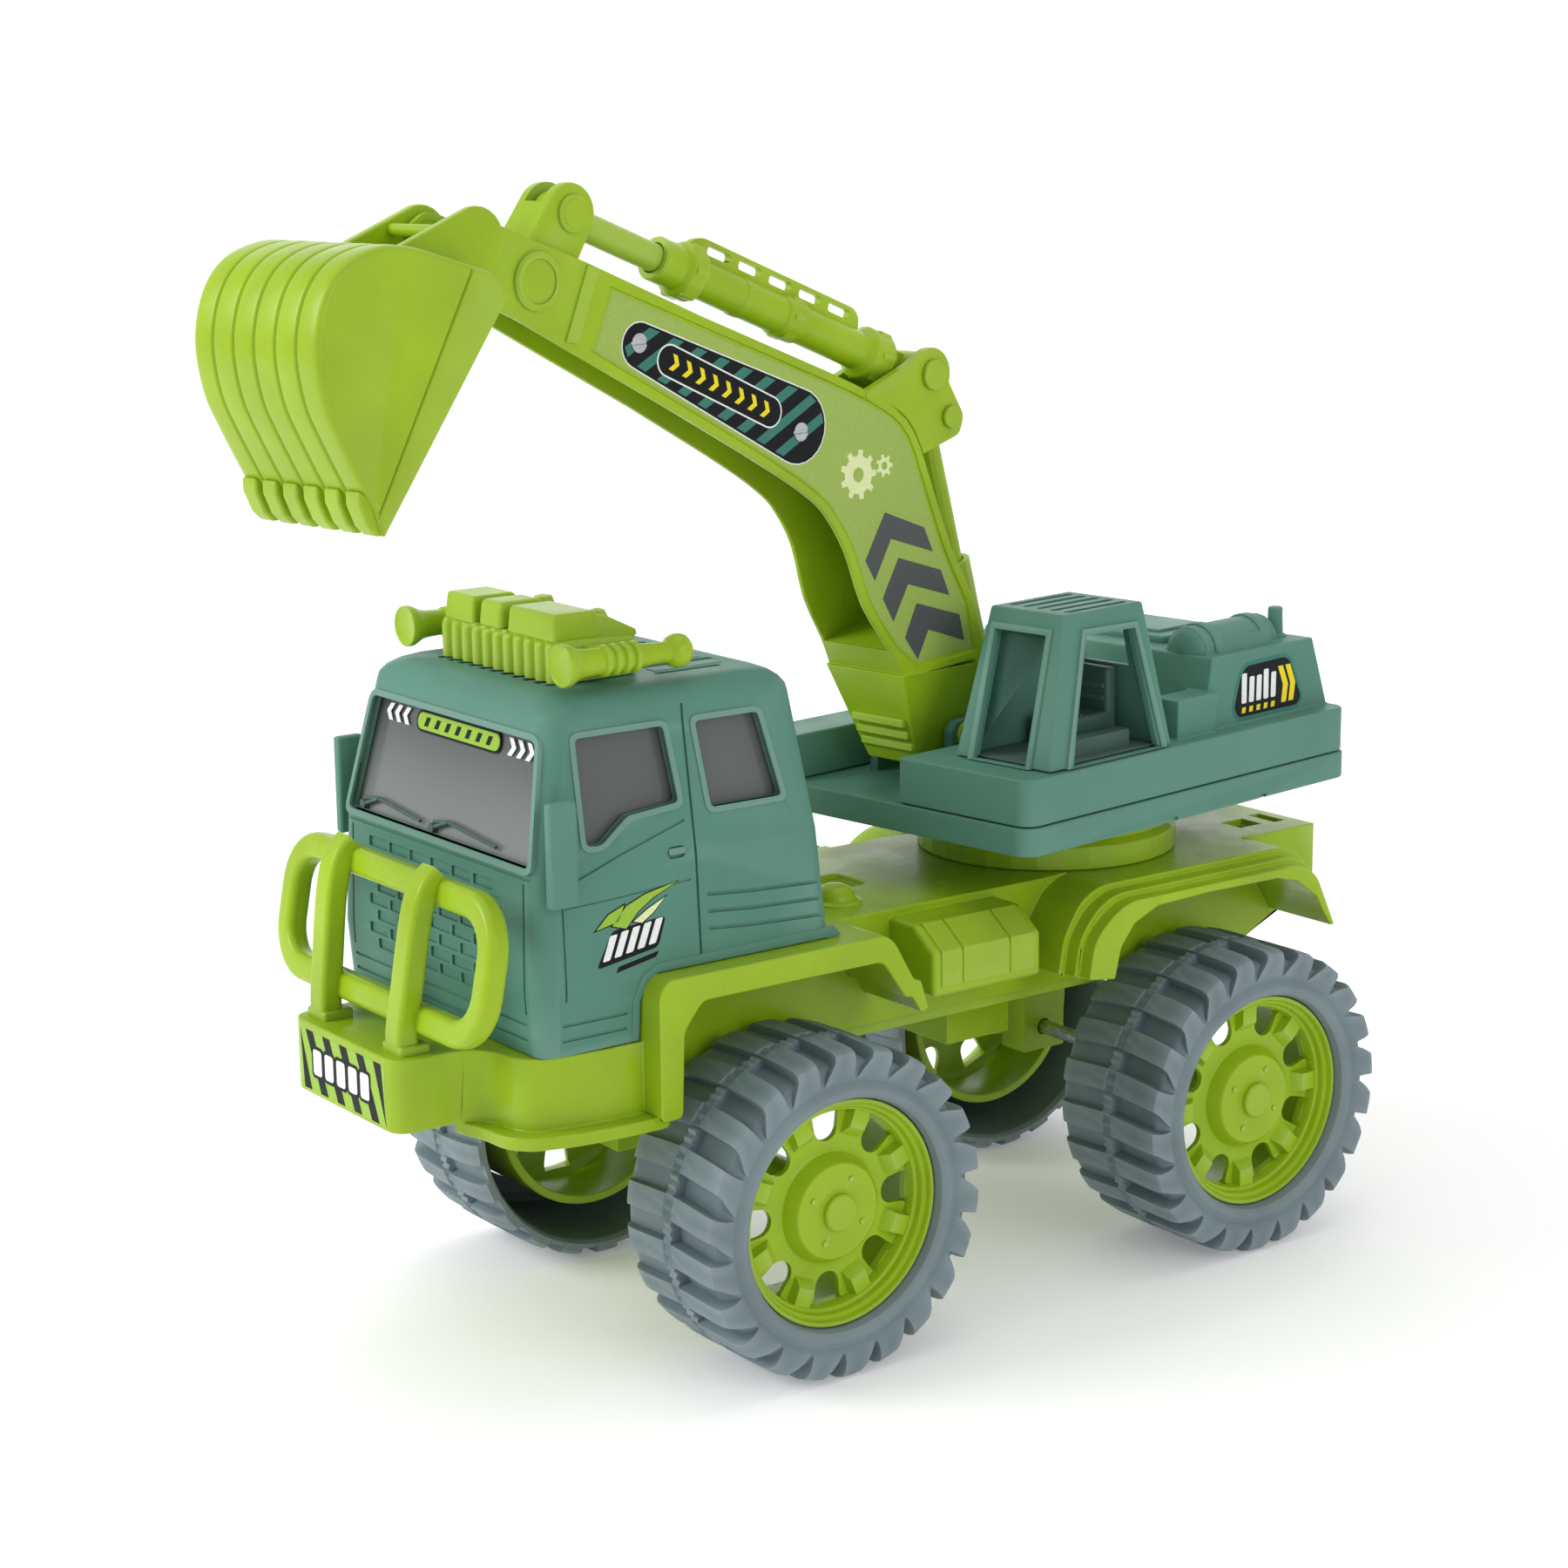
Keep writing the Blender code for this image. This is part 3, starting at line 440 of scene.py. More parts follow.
class Shader:
    """A Principled material whose colour, gloss and grain come from layered noise in object space."""

    def __init__(self, name, roughness, metallic=0.0, coat=0.0, shine=0.5):
        self.material = bpy.data.materials.new(name)
        self.material.use_nodes = True
        self.tree = self.material.node_tree
        self.shader = self.tree.nodes["Principled BSDF"]
        self.shader.inputs["Roughness"].default_value = roughness
        self.shader.inputs["Metallic"].default_value = metallic
        self.shader.inputs["Coat Weight"].default_value = coat
        self.shader.inputs["Specular IOR Level"].default_value = shine
        self.where = self.tree.nodes.new("ShaderNodeTexCoord").outputs["Object"]

    def link(self, source, target):
        self.tree.links.new(source, target)

    def noise(self, scale, detail=3.0, stretch=None):
        node = self.tree.nodes.new("ShaderNodeTexNoise")
        node.inputs["Scale"].default_value = scale
        node.inputs["Detail"].default_value = detail
        if stretch:
            mapping = self.tree.nodes.new("ShaderNodeMapping")
            mapping.inputs["Scale"].default_value = stretch
            self.link(self.where, mapping.inputs["Vector"])
            self.link(mapping.outputs["Vector"], node.inputs["Vector"])
        else:
            self.link(self.where, node.inputs["Vector"])
        return node.outputs["Fac"]

    def edges(self):
        return self.tree.nodes.new("ShaderNodeNewGeometry").outputs["Pointiness"]

    def ramp(self, factor, low, high, first, last):
        node = self.tree.nodes.new("ShaderNodeValToRGB")
        node.color_ramp.elements[0].position = low
        node.color_ramp.elements[1].position = high
        node.color_ramp.elements[0].color = (*first, 1)
        node.color_ramp.elements[1].color = (*last, 1)
        self.link(factor, node.inputs["Fac"])
        return node.outputs["Color"]

    def spread(self, factor, low, high, start=0.3, end=0.7):
        node = self.tree.nodes.new("ShaderNodeMapRange")
        node.inputs["From Min"].default_value = start
        node.inputs["From Max"].default_value = end
        node.inputs["To Min"].default_value = low
        node.inputs["To Max"].default_value = high
        self.link(factor, node.inputs["Value"])
        return node.outputs["Result"]

    def mixed(self, factor, first, second, blend="MIX"):
        node = self.tree.nodes.new("ShaderNodeMix")
        node.data_type = "RGBA"
        node.blend_type = blend
        for socket, value in ((node.inputs[0], factor), (node.inputs[6], first), (node.inputs[7], second)):
            if isinstance(value, bpy.types.NodeSocket):
                self.link(value, socket)
            elif isinstance(value, tuple):
                socket.default_value = (*value, 1)
            else:
                socket.default_value = value
        return node.outputs[2]

    def paint(self, colour):
        self.link(colour, self.shader.inputs["Base Color"])

    def gloss(self, value):
        self.link(value, self.shader.inputs["Roughness"])

    def bump(self, height, strength, distance):
        node = self.tree.nodes.new("ShaderNodeBump")
        node.inputs["Strength"].default_value = strength
        node.inputs["Distance"].default_value = distance
        self.link(height, node.inputs["Height"])
        self.link(node.outputs["Normal"], self.shader.inputs["Normal"])


def scaled(colour, factor):
    return tuple(min(1.0, channel * factor) for channel in colour)


def moulded(name, colour, roughness, spread=0.10, grain=0.22, shine=0.26):
    """Injection-moulded plastic: cloudy colour, worn lighter edges, handled gloss, fine orange peel."""
    made = Shader(name, roughness, shine=shine)
    cloud = made.ramp(made.noise(26, 4), 0.34, 0.68, scaled(colour, 1 - spread), scaled(colour, 1 + spread))
    speck = made.ramp(made.noise(2600, 2), 0.62, 0.75, (1, 1, 1), (0.9, 0.9, 0.88))
    base = made.mixed(0.4, cloud, speck, "MULTIPLY")
    worn = made.spread(made.edges(), 0.0, 0.5, 0.53, 0.62)
    made.paint(made.mixed(worn, base, scaled(tuple(c * 0.8 + 0.12 for c in colour), 1.15)))
    made.gloss(made.spread(made.noise(60, 5), roughness - 0.07, roughness + 0.09))
    made.bump(made.noise(700, 3), grain, 0.00012)
    return made.material


def tyre_plastic():
    """Matt blue-grey tyre with pale dusty lug tops and faint flow marks."""
    colour = (0.150, 0.202, 0.224)
    made = Shader("tyre_grey", 0.55)
    cloud = made.ramp(made.noise(34, 5), 0.3, 0.7, scaled(colour, 0.86), scaled(colour, 1.16))
    flow = made.ramp(made.noise(120, 4, (0.25, 1, 1)), 0.42, 0.6, (0.93, 0.93, 0.93), (1.0, 1.0, 1.0))
    base = made.mixed(0.6, cloud, flow, "MULTIPLY")
    dusty = made.spread(made.edges(), 0.0, 0.55, 0.52, 0.60)
    made.paint(made.mixed(dusty, base, (0.33, 0.38, 0.40)))
    made.gloss(made.spread(made.noise(80, 4), 0.48, 0.66))
    made.bump(made.noise(1100, 3), 0.3, 0.00015)
    return made.material


def tinted_pane():
    """Dark smoked pane with a slow sheen and fine wipe marks."""
    made = Shader("smoked_pane", 0.16, coat=0.25, shine=0.35)
    made.paint(made.ramp(made.noise(14, 2), 0.3, 0.75, (0.085, 0.095, 0.092), (0.125, 0.135, 0.132)))
    made.gloss(made.spread(made.noise(45, 5, (1, 1, 0.2)), 0.12, 0.26))
    made.bump(made.noise(160, 2, (1, 1, 0.15)), 0.05, 0.0002)
    return made.material


def graded_screen():
    """The same smoked plastic, darker along the windscreen's top edge."""
    made = Shader("graded_screen", 0.16, coat=0.25, shine=0.35)
    axes = made.tree.nodes.new("ShaderNodeSeparateXYZ")
    made.link(made.where, axes.inputs["Vector"])
    lift = made.ramp(made.spread(axes.outputs["Z"], 0, 1, 0.162, 0.190), 0, 1, (0.22, 0.235, 0.23),
                     (0.085, 0.095, 0.092))
    made.paint(made.mixed(0.25, lift, made.ramp(made.noise(14, 2), 0.3, 0.75, (0.6, 0.6, 0.6), (1, 1, 1)),
                          "MULTIPLY"))
    made.gloss(made.spread(made.noise(45, 5, (1, 1, 0.2)), 0.12, 0.26))
    return made.material


def turned_steel():
    made = Shader("bright_steel", 0.3, metallic=1.0)
    made.paint(made.ramp(made.noise(300, 3, (1, 8, 8)), 0.3, 0.7, (0.42, 0.43, 0.45), (0.64, 0.65, 0.67)))
    made.gloss(made.spread(made.noise(500, 4, (1, 12, 12)), 0.22, 0.42))
    made.bump(made.noise(900, 3, (1, 10, 10)), 0.12, 0.0001)
    return made.material


def printed(name, colour, roughness=0.32):
    """Printed sticker film: even ink with a faint dot grain."""
    made = Shader(name, roughness, shine=0.15)
    made.paint(made.ramp(made.noise(1500, 2), 0.35, 0.7, scaled(colour, 0.93), scaled(colour, 1.05)))
    made.gloss(made.spread(made.noise(90, 3), roughness - 0.05, roughness + 0.08))
    made.bump(made.noise(220, 2), 0.05, 0.0001)
    return made.material


LIME = moulded("lime_plastic", (0.305, 0.462, 0.012), 0.29)
TEAL = moulded("teal_plastic", (0.095, 0.238, 0.182), 0.42, spread=0.05, grain=0.08, shine=0.12)
DARK_TEAL = moulded("seat_teal_plastic", (0.03, 0.085, 0.065), 0.5)
TYRE = tyre_plastic()
PANE = tinted_pane()
SCREEN = graded_screen()
STEEL = turned_steel()
BLACK_INK = printed("black_ink", (0.006, 0.007, 0.008), 0.45)
WHITE_INK = printed("white_ink", (0.82, 0.84, 0.82))
TEAL_INK = printed("teal_ink", (0.045, 0.19, 0.15))
LIME_INK = printed("lime_ink", (0.30, 0.50, 0.05))
PALE_INK = printed("pale_ink", (0.72, 0.80, 0.42))
GREY_INK = printed("grey_ink", (0.085, 0.095, 0.095))
YELLOW_INK = printed("yellow_ink", (0.85, 0.68, 0.02))
FILM = printed("clear_film", (0.33, 0.46, 0.10), 0.24)


# ---------------------------------------------------------------- wheels

LUGS = 22
AXLE_HEIGHT = 50.0
RIM_WINDOWS = 8

BEAD_ROWS = ((84.2, 34.9), (85.6, 35.4), (86.5, 36.6), (86.8, 38.0), (86.4, 39.4), (86.0, 40.4))
# Rows round the tyre's section, from the outer bead over the tread to the inner edge. Each is
# (x, radius) on a lug, (x, radius) in a pocket, and the pocket's two sides in degrees
TREAD_ROWS = (
    ((86.4, 41.2), (86.4, 41.2), 0.0, 1.0),
    ((86.9, 42.4), (86.5, 42.1), -0.1, 1.4),
    ((87.2, 44.4), (85.4, 43.8), -0.2, 3.4),
    ((87.3, 46.2), (84.6, 45.0), 0.0, 5.4),
    ((87.0, 47.8), (84.0, 45.6), 0.2, 7.2),
    ((86.0, 49.2), (83.2, 46.0), 0.5, 8.2),
    ((83.6, 49.9), (81.0, 46.2), 1.0, 8.7),
    ((79.0, 50.0), (78.0, 46.2), 1.5, 9.1),
    ((73.0, 50.0), (73.0, 46.2), 2.0, 9.6),
    ((67.4, 50.0), (67.2, 46.2), 2.4, 10.1),
)
SEAM = ((66.9, 49.9), (63.4, 49.9))
BACK_ROWS = (
    ((62.9, 49.9), (63.0, 47.4), 2.4, 10.1),
    ((56.0, 50.0), (56.0, 47.4), 2.0, 9.6),
    ((49.0, 49.9), (49.0, 47.4), 1.4, 9.0),
    ((44.2, 49.4), (44.4, 47.3), 1.0, 8.6),
    ((42.4, 48.2), (42.4, 47.0), 1.0, 8.6),
)
HOLLOW_ROWS = (
    (42.4, 45.6), (44.0, 44.6), (60.0, 44.0), (74.0, 43.4), (80.5, 42.0), (82.6, 39.6), (82.9, 36.6),
    (82.4, 34.9),
)
LUG_STEPS = 4
POCKET_STEPS = 5


def tyre(centre, side, turn):
    """Hollow tyre with hooked lugs; the wall between its two halves is a toothed seam."""
    pitch = 360 / LUGS
    bm = bmesh.new()
    rows = []

    def ring(high, low, start, end, teeth=0.0):
        points = []
        for lug in range(LUGS):
            base = lug * pitch + turn
            stations = []
            for i in range(POCKET_STEPS + 1):
                stations.append((start + (end - start) * i / POCKET_STEPS, low))
            for i in range(LUG_STEPS + 1):
                stations.append((end + 0.25 + (pitch + start - 0.5 - end) * i / LUG_STEPS, high))
            for number, (degrees, (x, radius)) in enumerate(stations):
                angle = radians(base + degrees)
                radius -= teeth * (number % 2)
                y = centre[0] + side * radius * sin(angle)
                points.append(bm.verts.new((side * x, y, centre[1] + radius * cos(angle))))
        rows.append(points)

    for place in BEAD_ROWS:
        ring(place, place, 0.0, 7.8)
    for high, low, start, end in TREAD_ROWS:
        ring(high, low, start, end)
    for place in SEAM:
        ring(place, place, 2.4, 10.1, 0.9)
    for high, low, start, end in BACK_ROWS:
        ring(high, low, start, end)
    for place in HOLLOW_ROWS:
        ring(place, place, 1.0, 8.6)
    count = len(rows[0])
    for low, high in zip(rows, rows[1:] + rows[:1]):
        for i in range(count):
            j = (i + 1) % count
            bm.faces.new((low[i], low[j], high[j], high[i]))
    return new_object("tyre", bm)


RIM_PROFILE = (
    (2.8, 46), (8.3, 46), (8.5, 46.4), (8.5, 72.6), (9.4, 73.6), (28.2, 73.6), (31.6, 71.5),
    (31.6, 50.4), (32, 50), (34.1, 50), (34.5, 50.4), (34.5, 82.6), (34.2, 83.1), (33.2, 83.2),
    (32.9, 82.7), (32.7, 81.5), (32.3, 81.1), (31.6, 81.1), (31.3, 80.7), (31.1, 79.2), (30.7, 78.8),
    (30.2, 78.7), (29.9, 78.0), (29.5, 75.6), (28.7, 75.0), (18.4, 75.6), (16.9, 76.4), (15.0, 80.3),
    (14.3, 80.9), (6.3, 81.0), (5.8, 81.3), (5.6, 82.7), (5.1, 83.1), (0, 83.2), (0, 79), (2.8, 79),
)


def rim(centre, side, phase):
    """Dished wheel with rings round its flange, windows, raised spoke pads and a capped hub."""
    disc = turned([(radius, side * x) for radius, x in RIM_PROFILE], "x", centre, 96)

    def around(points, angle):
        return [(centre[0] + outward * sin(angle) + across * cos(angle),
                 centre[1] + outward * cos(angle) - across * sin(angle)) for outward, across in points]

    inner_end = [(24.4 - 4.3 * sin(radians(a)), 4.3 * cos(radians(a))) for a in range(0, 181, 20)]
    window = [(29.3, 4.9), *inner_end, (29.3, -4.9)]
    for number in range(RIM_WINDOWS):
        cut(disc, prism("x", around(window, 2 * pi * (number + phase) / RIM_WINDOWS),
                        *beside(side, 66, 84)))
    for number in range(RIM_WINDOWS):
        angle = 2 * pi * (number + phase + 0.5) / RIM_WINDOWS
        pad = []
        for x, inner, half in ((74.5, 21.0, 3.6), (78.3, 24.6, 2.9)):
            corners = ((30, half), (inner, half), (inner, -half), (30, -half))
            pad.append([(side * x, *point) for point in around(corners, angle)])
        add(disc, loft(pad))
    for number in range(4):
        place = around([(10.2, 0)], pi * number / 2 + 0.5)[0]
        add(disc, rod(0.9, "x", place, *beside(side, 80, 81.4), 12))
    return disc


def wheels():
    """Both wheels of both axles; the rear ones rest turned by half a window."""
    for end, phase in (("front", 0.0), ("rear", 0.5)):
        centre = ((axle_y(f"{end}_axle") - axle_y("front_axle")) / MM, AXLE_HEIGHT)
        for side, label in SIDES:
            body = f"{end}_wheels"
            hang(tyre(centre, side, 3 + 9 * phase), f"{end}_tyre_{label}_tread", body, TRUCK, TYRE,
                 [f"{end}_tyre_{label}"], 28)
            hang(rim(centre, side, phase), f"{end}_rim_{label}_dished", body, TRUCK, LIME,
                 [f"{end}_rim_{label}"])


wheels()


# ---------------------------------------------------------------- digging arm

def tilted(piece, start, end):
    """Turn a piece drawn along +Z from the boom plane's origin onto the line from start to end."""
    lean = atan2(end[0] - start[0], end[1] - start[1])
    piece.data.transform(Matrix.Translation((BOOM_X, *start)) @ Matrix.Rotation(-lean, 4, "X"))
    return piece


BUCKET_HALF = 28.0
BUCKET_BANDS = 6
BUCKET_BACK = (
    (-238, 323.5), (-251, 327.4), (-264, 331), (-275, 331.6), (-286.5, 327.6), (-293.8, 319),
    (-297, 306), (-295, 292), (-290, 281), (-283, 268), (-280.4, 262.6),
)
BUCKET_TIP = (-277.5, 255.9)


def band_profile():
    """Stations over the bucket's width as (x from its middle, depth below the full outline)."""
    pitch = 2 * BUCKET_HALF / BUCKET_BANDS
    edge = ((0.0, 2.0), (0.35, 0.95), (1.0, 0.35), (2.0, 0.08))
    valley = ((-pitch / 2, 0.0), (-1.3, 0.12), (-0.45, 0.3), (-0.2, 1.0), (0.2, 1.0), (0.45, 0.3),
              (1.3, 0.12))
    stations = [(x - BUCKET_HALF, depth) for x, depth in edge]
    for band in range(1, BUCKET_BANDS):
        middle = band * pitch - BUCKET_HALF
        stations += [(middle + x, depth) for x, depth in valley]
    stations.append((BUCKET_HALF - pitch / 2, 0.0))
    return stations + [(BUCKET_HALF - x, depth) for x, depth in reversed(edge)]


def bucket():
    """Banded scoop with flat cheeks, a toothed lip bar and two ears round the boom's nose."""
    back = spline(BUCKET_BACK)
    rings = []
    for x, depth in band_profile():
        outline = inset(back, depth)
        rings.append([(BOOM_X + x, y, z) for y, z in [*outline, BUCKET_TIP, (-233.2, 316.2)]])
    scoop = loft(rings)
    left, right = BOOM_X - BUCKET_HALF, BOOM_X + BUCKET_HALF
    hollow = [(-228, 318), *inset(back, 2.6), (-276.4, 257.4), (-270, 245)]
    cut(scoop, prism("x", hollow, left + 2, right - 2))
    pitch = 2 * BUCKET_HALF / BUCKET_BANDS
    for gap in range(1, BUCKET_BANDS):
        x = left + gap * pitch
        slot = [(x - 1.5, 240), (x - 1.4, 260.6), (x - 1.0, 261.8), (x, 262.4), (x + 1.0, 261.8),
                (x + 1.4, 260.6), (x + 1.5, 240)]
        cut(scoop, prism("y", slot, -300, -268))
    for side in (-1, 1):
        x = BOOM_X + side * BUCKET_HALF
        line = [(-244.6, 325.3), (-279.6, 261.0), (-279.3, 260.7), (-244.2, 324.9)]
        cut(scoop, prism("x", line, *sorted((x - side * 0.45, x + side))))
    rounded(scoop, 0.45, 2, 40)
    foot = hull([(*BUCKET_PIVOT, 9.4), (-257.5, 329.4, 1.2), (-241, 323.0, 1.6)])
    for side in (-1, 1):
        ear = rounded(prism("x", foot, *sorted((BOOM_X + side * 10.7, BOOM_X + side * 13.8))), 0.7, 3)
        add(scoop, ear)
    add(scoop, rod(1.8, "x", (-241.8, 333.6), *span(12), 20))
    teeth = []
    for band in range(BUCKET_BANDS):
        x = left + (band + 0.5) * pitch
        lip = [(-284.3, 268.6), (-284.2, 264.6), (-281.6, 258.8), (-278.6, 255.9), (-276.4, 256.4),
               (-280.0, 267.4)]
        teeth.append(rounded(prism("x", lip, x - 3.4, x + 3.4), 1.1, 4, 24))
    cut(scoop, rod(3.1, "x", BUCKET_PIVOT, *span(12.6)))
    hang(joined(scoop, *teeth), "banded_bucket", "scoop", SLEW, LIME, ["bucket"])


# Outer point, inner point and half-width of the boom's side plates from the nose to the foot
BOOM_STATIONS = (
    ((-237.2, 335.2), (-238.3, 328.3), 9.8),
    ((-231.5, 338.1), (-235.5, 324.7), 9.8),
    ((-223.6, 335.8), (-227.0, 314.2), 9.8),
    ((-208.6, 330.0), (-214.5, 308.0), 9.8),
    ((-188.5, 322.8), (-198.4, 299.5), 9.8),
    ((-146.2, 305.7), (-158.0, 278.7), 10.4),
    ((-94.1, 285.7), (-119.8, 257.9), 11.4),
    ((-69.3, 274.6), (-103.0, 247.5), 12.0),
    ((-57.5, 265.0), (-95.5, 240.5), 12.2),
    ((-49.4, 246.5), (-88.3, 229.3), 12.6),
    ((-42.0, 227.0), (-82.0, 212.1), 13.8),
    ((-34.0, 210.0), (-72.0, 197.0), 15.6),
    ((-29.0, 190.0), (-66.5, 188.0), 17.4),
)
PANEL_START = 4
PANEL_DEPTH = 0.75
PANEL_RIM = 3.0


def smooth_stations(stations, steps=3):
    """The boom's stations with more between them, on smooth curves."""
    flat = spline([(*outer, *inner, half) for outer, inner, half in stations], steps)
    return [((a, b), (c, d), half) for a, b, c, d, half in flat]


def boom_form(stations, side_wall=0.0, web=0.0, reach=0.0):
    """Skin the boom's stations; the hollow is inset at the sides and web and reaches past the inner edge."""
    rings = []
    for outer, inner, half in stations:
        step = (Vector(inner) - Vector(outer)).normalized()
        top, low = Vector(outer) + step * web, Vector(inner) + step * reach
        x = half - side_wall
        rings.append([(BOOM_X - x, *top), (BOOM_X + x, *top), (BOOM_X + x, *low), (BOOM_X - x, *low)])
    return loft(rings)


def side_panel(side):
    """The shallow recess along the boom's side, as a cutter."""
    rings = []
    for outer, inner, half in smooth_stations(BOOM_STATIONS[PANEL_START:-1]):
        step = (Vector(inner) - Vector(outer)).normalized() * PANEL_RIM
        top, low = Vector(outer) + step, Vector(inner) - step
        near, far = BOOM_X + side * (half - PANEL_DEPTH), BOOM_X + side * (half + 4)
        rings.append([(near, *top), (far, *top), (far, *low), (near, *low)])
    rings[0] = [(x, y + 9.0, z - 4.2) for x, y, z in rings[0]]
    near, far = BOOM_X + side * (17.0 - PANEL_DEPTH), BOOM_X + side * 21
    foot = [(near, -33.2, 192.5), (far, -33.2, 192.5), (far, -61.5, 190.5), (near, -61.5, 190.5)]
    return loft([rings[0], *rings[3:], foot])


def boom():
    """Inverted channel with panelled sides, a boxed foot, ears, a rib band and a ringed nose boss."""
    body = boom_form(smooth_stations(BOOM_STATIONS))
    add(body, frustum((span(11), (-55, -30), 157), (span(17.5), (-68, -28.5), 188.5)))
    ear = softened([(-80, 278), (-58, 286.5), *arc(CYLINDER_PIVOT, 8.5, 110, -20, 12), (-34, 268),
                    (-36, 262), (-60, 255)], 2, 3)
    add(body, prism("x", ear, *span(12)))
    cut(body, boom_form(smooth_stations(BOOM_STATIONS[:-1]), 1.8, 2.0, 6))
    cut(body, prism("x", [(-80, 281), (-70, 296), (-20, 296), (-20, 240), (-52, 252), (-72, 276.5)],
                    *span(8.6)))
    for side in (-1, 1):
        cut(body, side_panel(side))
    for radius, centre, half in ((3.1, BUCKET_PIVOT, 20), (3.3, ROCKER_PIVOT, 9.5),
                                 (3.3, CYLINDER_PIVOT, 20),
                                 (2.8, STRUT_TOP, 20), (3.3, BOOM_FOOT, 20)):
        cut(body, rod(radius, "x", centre, *span(half)))
    rounded(body, 0.5, 2, 42)
    cut(body, box(span(7.75), (-245, -176), (309.3, 350)))   # room for the rocker
    sides = BVHTree.FromObject(body, bpy.context.evaluated_depsgraph_get())
    trims = []
    for y, z in ((-62.6, 171.5), (-60.4, 167.3), (-58.2, 163.1)):
        trims.append(rounded(box(span(11.5), (y, y + 6), (z - 1.4, z + 1.4)), 0.6, 3))
    for side in (-1, 1):
        face = BOOM_X + side * 9.8
        band = [(-189.3, 322.4), (-184.9, 321.0), (-193.6, 300.4), (-198.2, 301.2)]
        trims.append(rounded(prism("x", band, *sorted((face - side * 0.6, face + side * 0.8))), 0.3, 2))
        ring = ((6.3, -0.2), (6.3, 1.35), (6.9, 1.6), (7.6, 1.6), (8.3, 1.0), (8.3, -0.2))
        disc = ((0, -0.2), (0, 0.9), (6.0, 0.9), (6.4, 0.7), (6.4, -0.2))
        for profile in (ring, disc):
            trims.append(turned(outward(profile, face, side), "x", ROCKER_PIVOT, 64))
    hang(joined(body, *trims), "panelled_boom", "boom_arm", SLEW, LIME, ["boom"], 30)
    return sides


def boom_sticker(name, outline, material, lift=0.14, side=1, hole=None):
    """Printed film lying on the boom's side; lift is its height above the plastic."""
    bm = bmesh.new()
    loops = [outline] if hole is None else [outline, hole]
    edges = []
    for loop in loops:
        corners = [bm.verts.new((0, y, z)) for y, z in loop]
        edges += [bm.edges.new((a, b)) for a, b in zip(corners, corners[1:] + corners[:1])]
    bmesh.ops.triangle_fill(bm, use_beauty=True, edges=edges)
    for _ in range(4):
        bmesh.ops.subdivide_edges(bm, edges=[e for e in bm.edges if e.calc_length() > 4.5], cuts=1)
        bmesh.ops.triangulate(bm, faces=bm.faces[:])
    for vertex in bm.verts:
        vertex.co.x = on_boom(vertex.co.y, vertex.co.z, side) + side * lift
    film = bmesh.ops.extrude_face_region(bm, geom=bm.faces[:])
    for item in film["geom"]:
        if isinstance(item, bmesh.types.BMVert):
            item.co.x -= side * (lift + 0.1)
    sticker = new_object(name, bm)
    return hang(sticker, name, "boom_arm", SLEW, material)


def capsule_outline(start, end, first, second):
    return hull([(*start, first), (*end, second)])


def gear_outline(centre, outer, inner, teeth):
    points = []
    for tooth in range(teeth):
        for share, radius in ((-0.26, inner), (-0.17, outer), (0.17, outer), (0.26, inner)):
            angle = 2 * pi * (tooth + share) / teeth
            points.append((centre[0] + radius * cos(angle), centre[1] + radius * sin(angle)))
    return points


CHEVRONS = (
    ((-70.6, 240.4), (-53.4, 234.0), (-49.9, 226.0), (-68.3, 231.9), (-76.2, 219.6), (-79.9, 226.2)),
    ((-65.4, 225.6), (-46.9, 219.8), (-43.7, 211.4), (-61.8, 216.9), (-69.3, 205.9), (-73.2, 213.6)),
    ((-58.6, 210.5), (-39.9, 204.8), (-38.4, 196.3), (-54.3, 201.6), (-60.2, 193.0), (-64.8, 200.3)),
)
PILL_START, PILL_END = (-169.6, 298.4), (-107.4, 270.2)
PILL_SMALL, PILL_LARGE = 6.6, 11.3          # the pill's end radii
PILL_MARK = ((-1.6, 2.4), (0.2, 2.4), (1.9, 0), (0.2, -2.4), (-1.6, -2.4), (0.1, 0))
GEARS = (((-82.0, 253.2), 7.8, 6.0, 9, 2.3), ((-70.5, 255.0), 3.6, 2.6, 7, 1.3))


def on_boom(y, z, side):
    """Where the boom's side lies at (y, z)."""
    hit = BOOM_SIDES.ray_cast(Vector((BOOM_X + side * 60, y, z)), Vector((-side, 0, 0)))
    return hit[0].x


def panel_outline():
    """Outline of the clear film that fills the recessed panel."""
    top, low = [], []
    for outer, inner, _ in smooth_stations(BOOM_STATIONS[PANEL_START:-1]):
        step = (Vector(inner) - Vector(outer)).normalized() * (PANEL_RIM + 0.9)
        top.append(Vector(outer) + step)
        low.append(Vector(inner) - step)
    top[0] += Vector((10.4, -4.9))
    low[0] += Vector((10.4, -4.9))
    top.append(Vector((-34.6, 193.6)))
    low.append(Vector((-60.4, 191.8)))
    return [tuple(point) for point in [*top, *reversed(low)]]


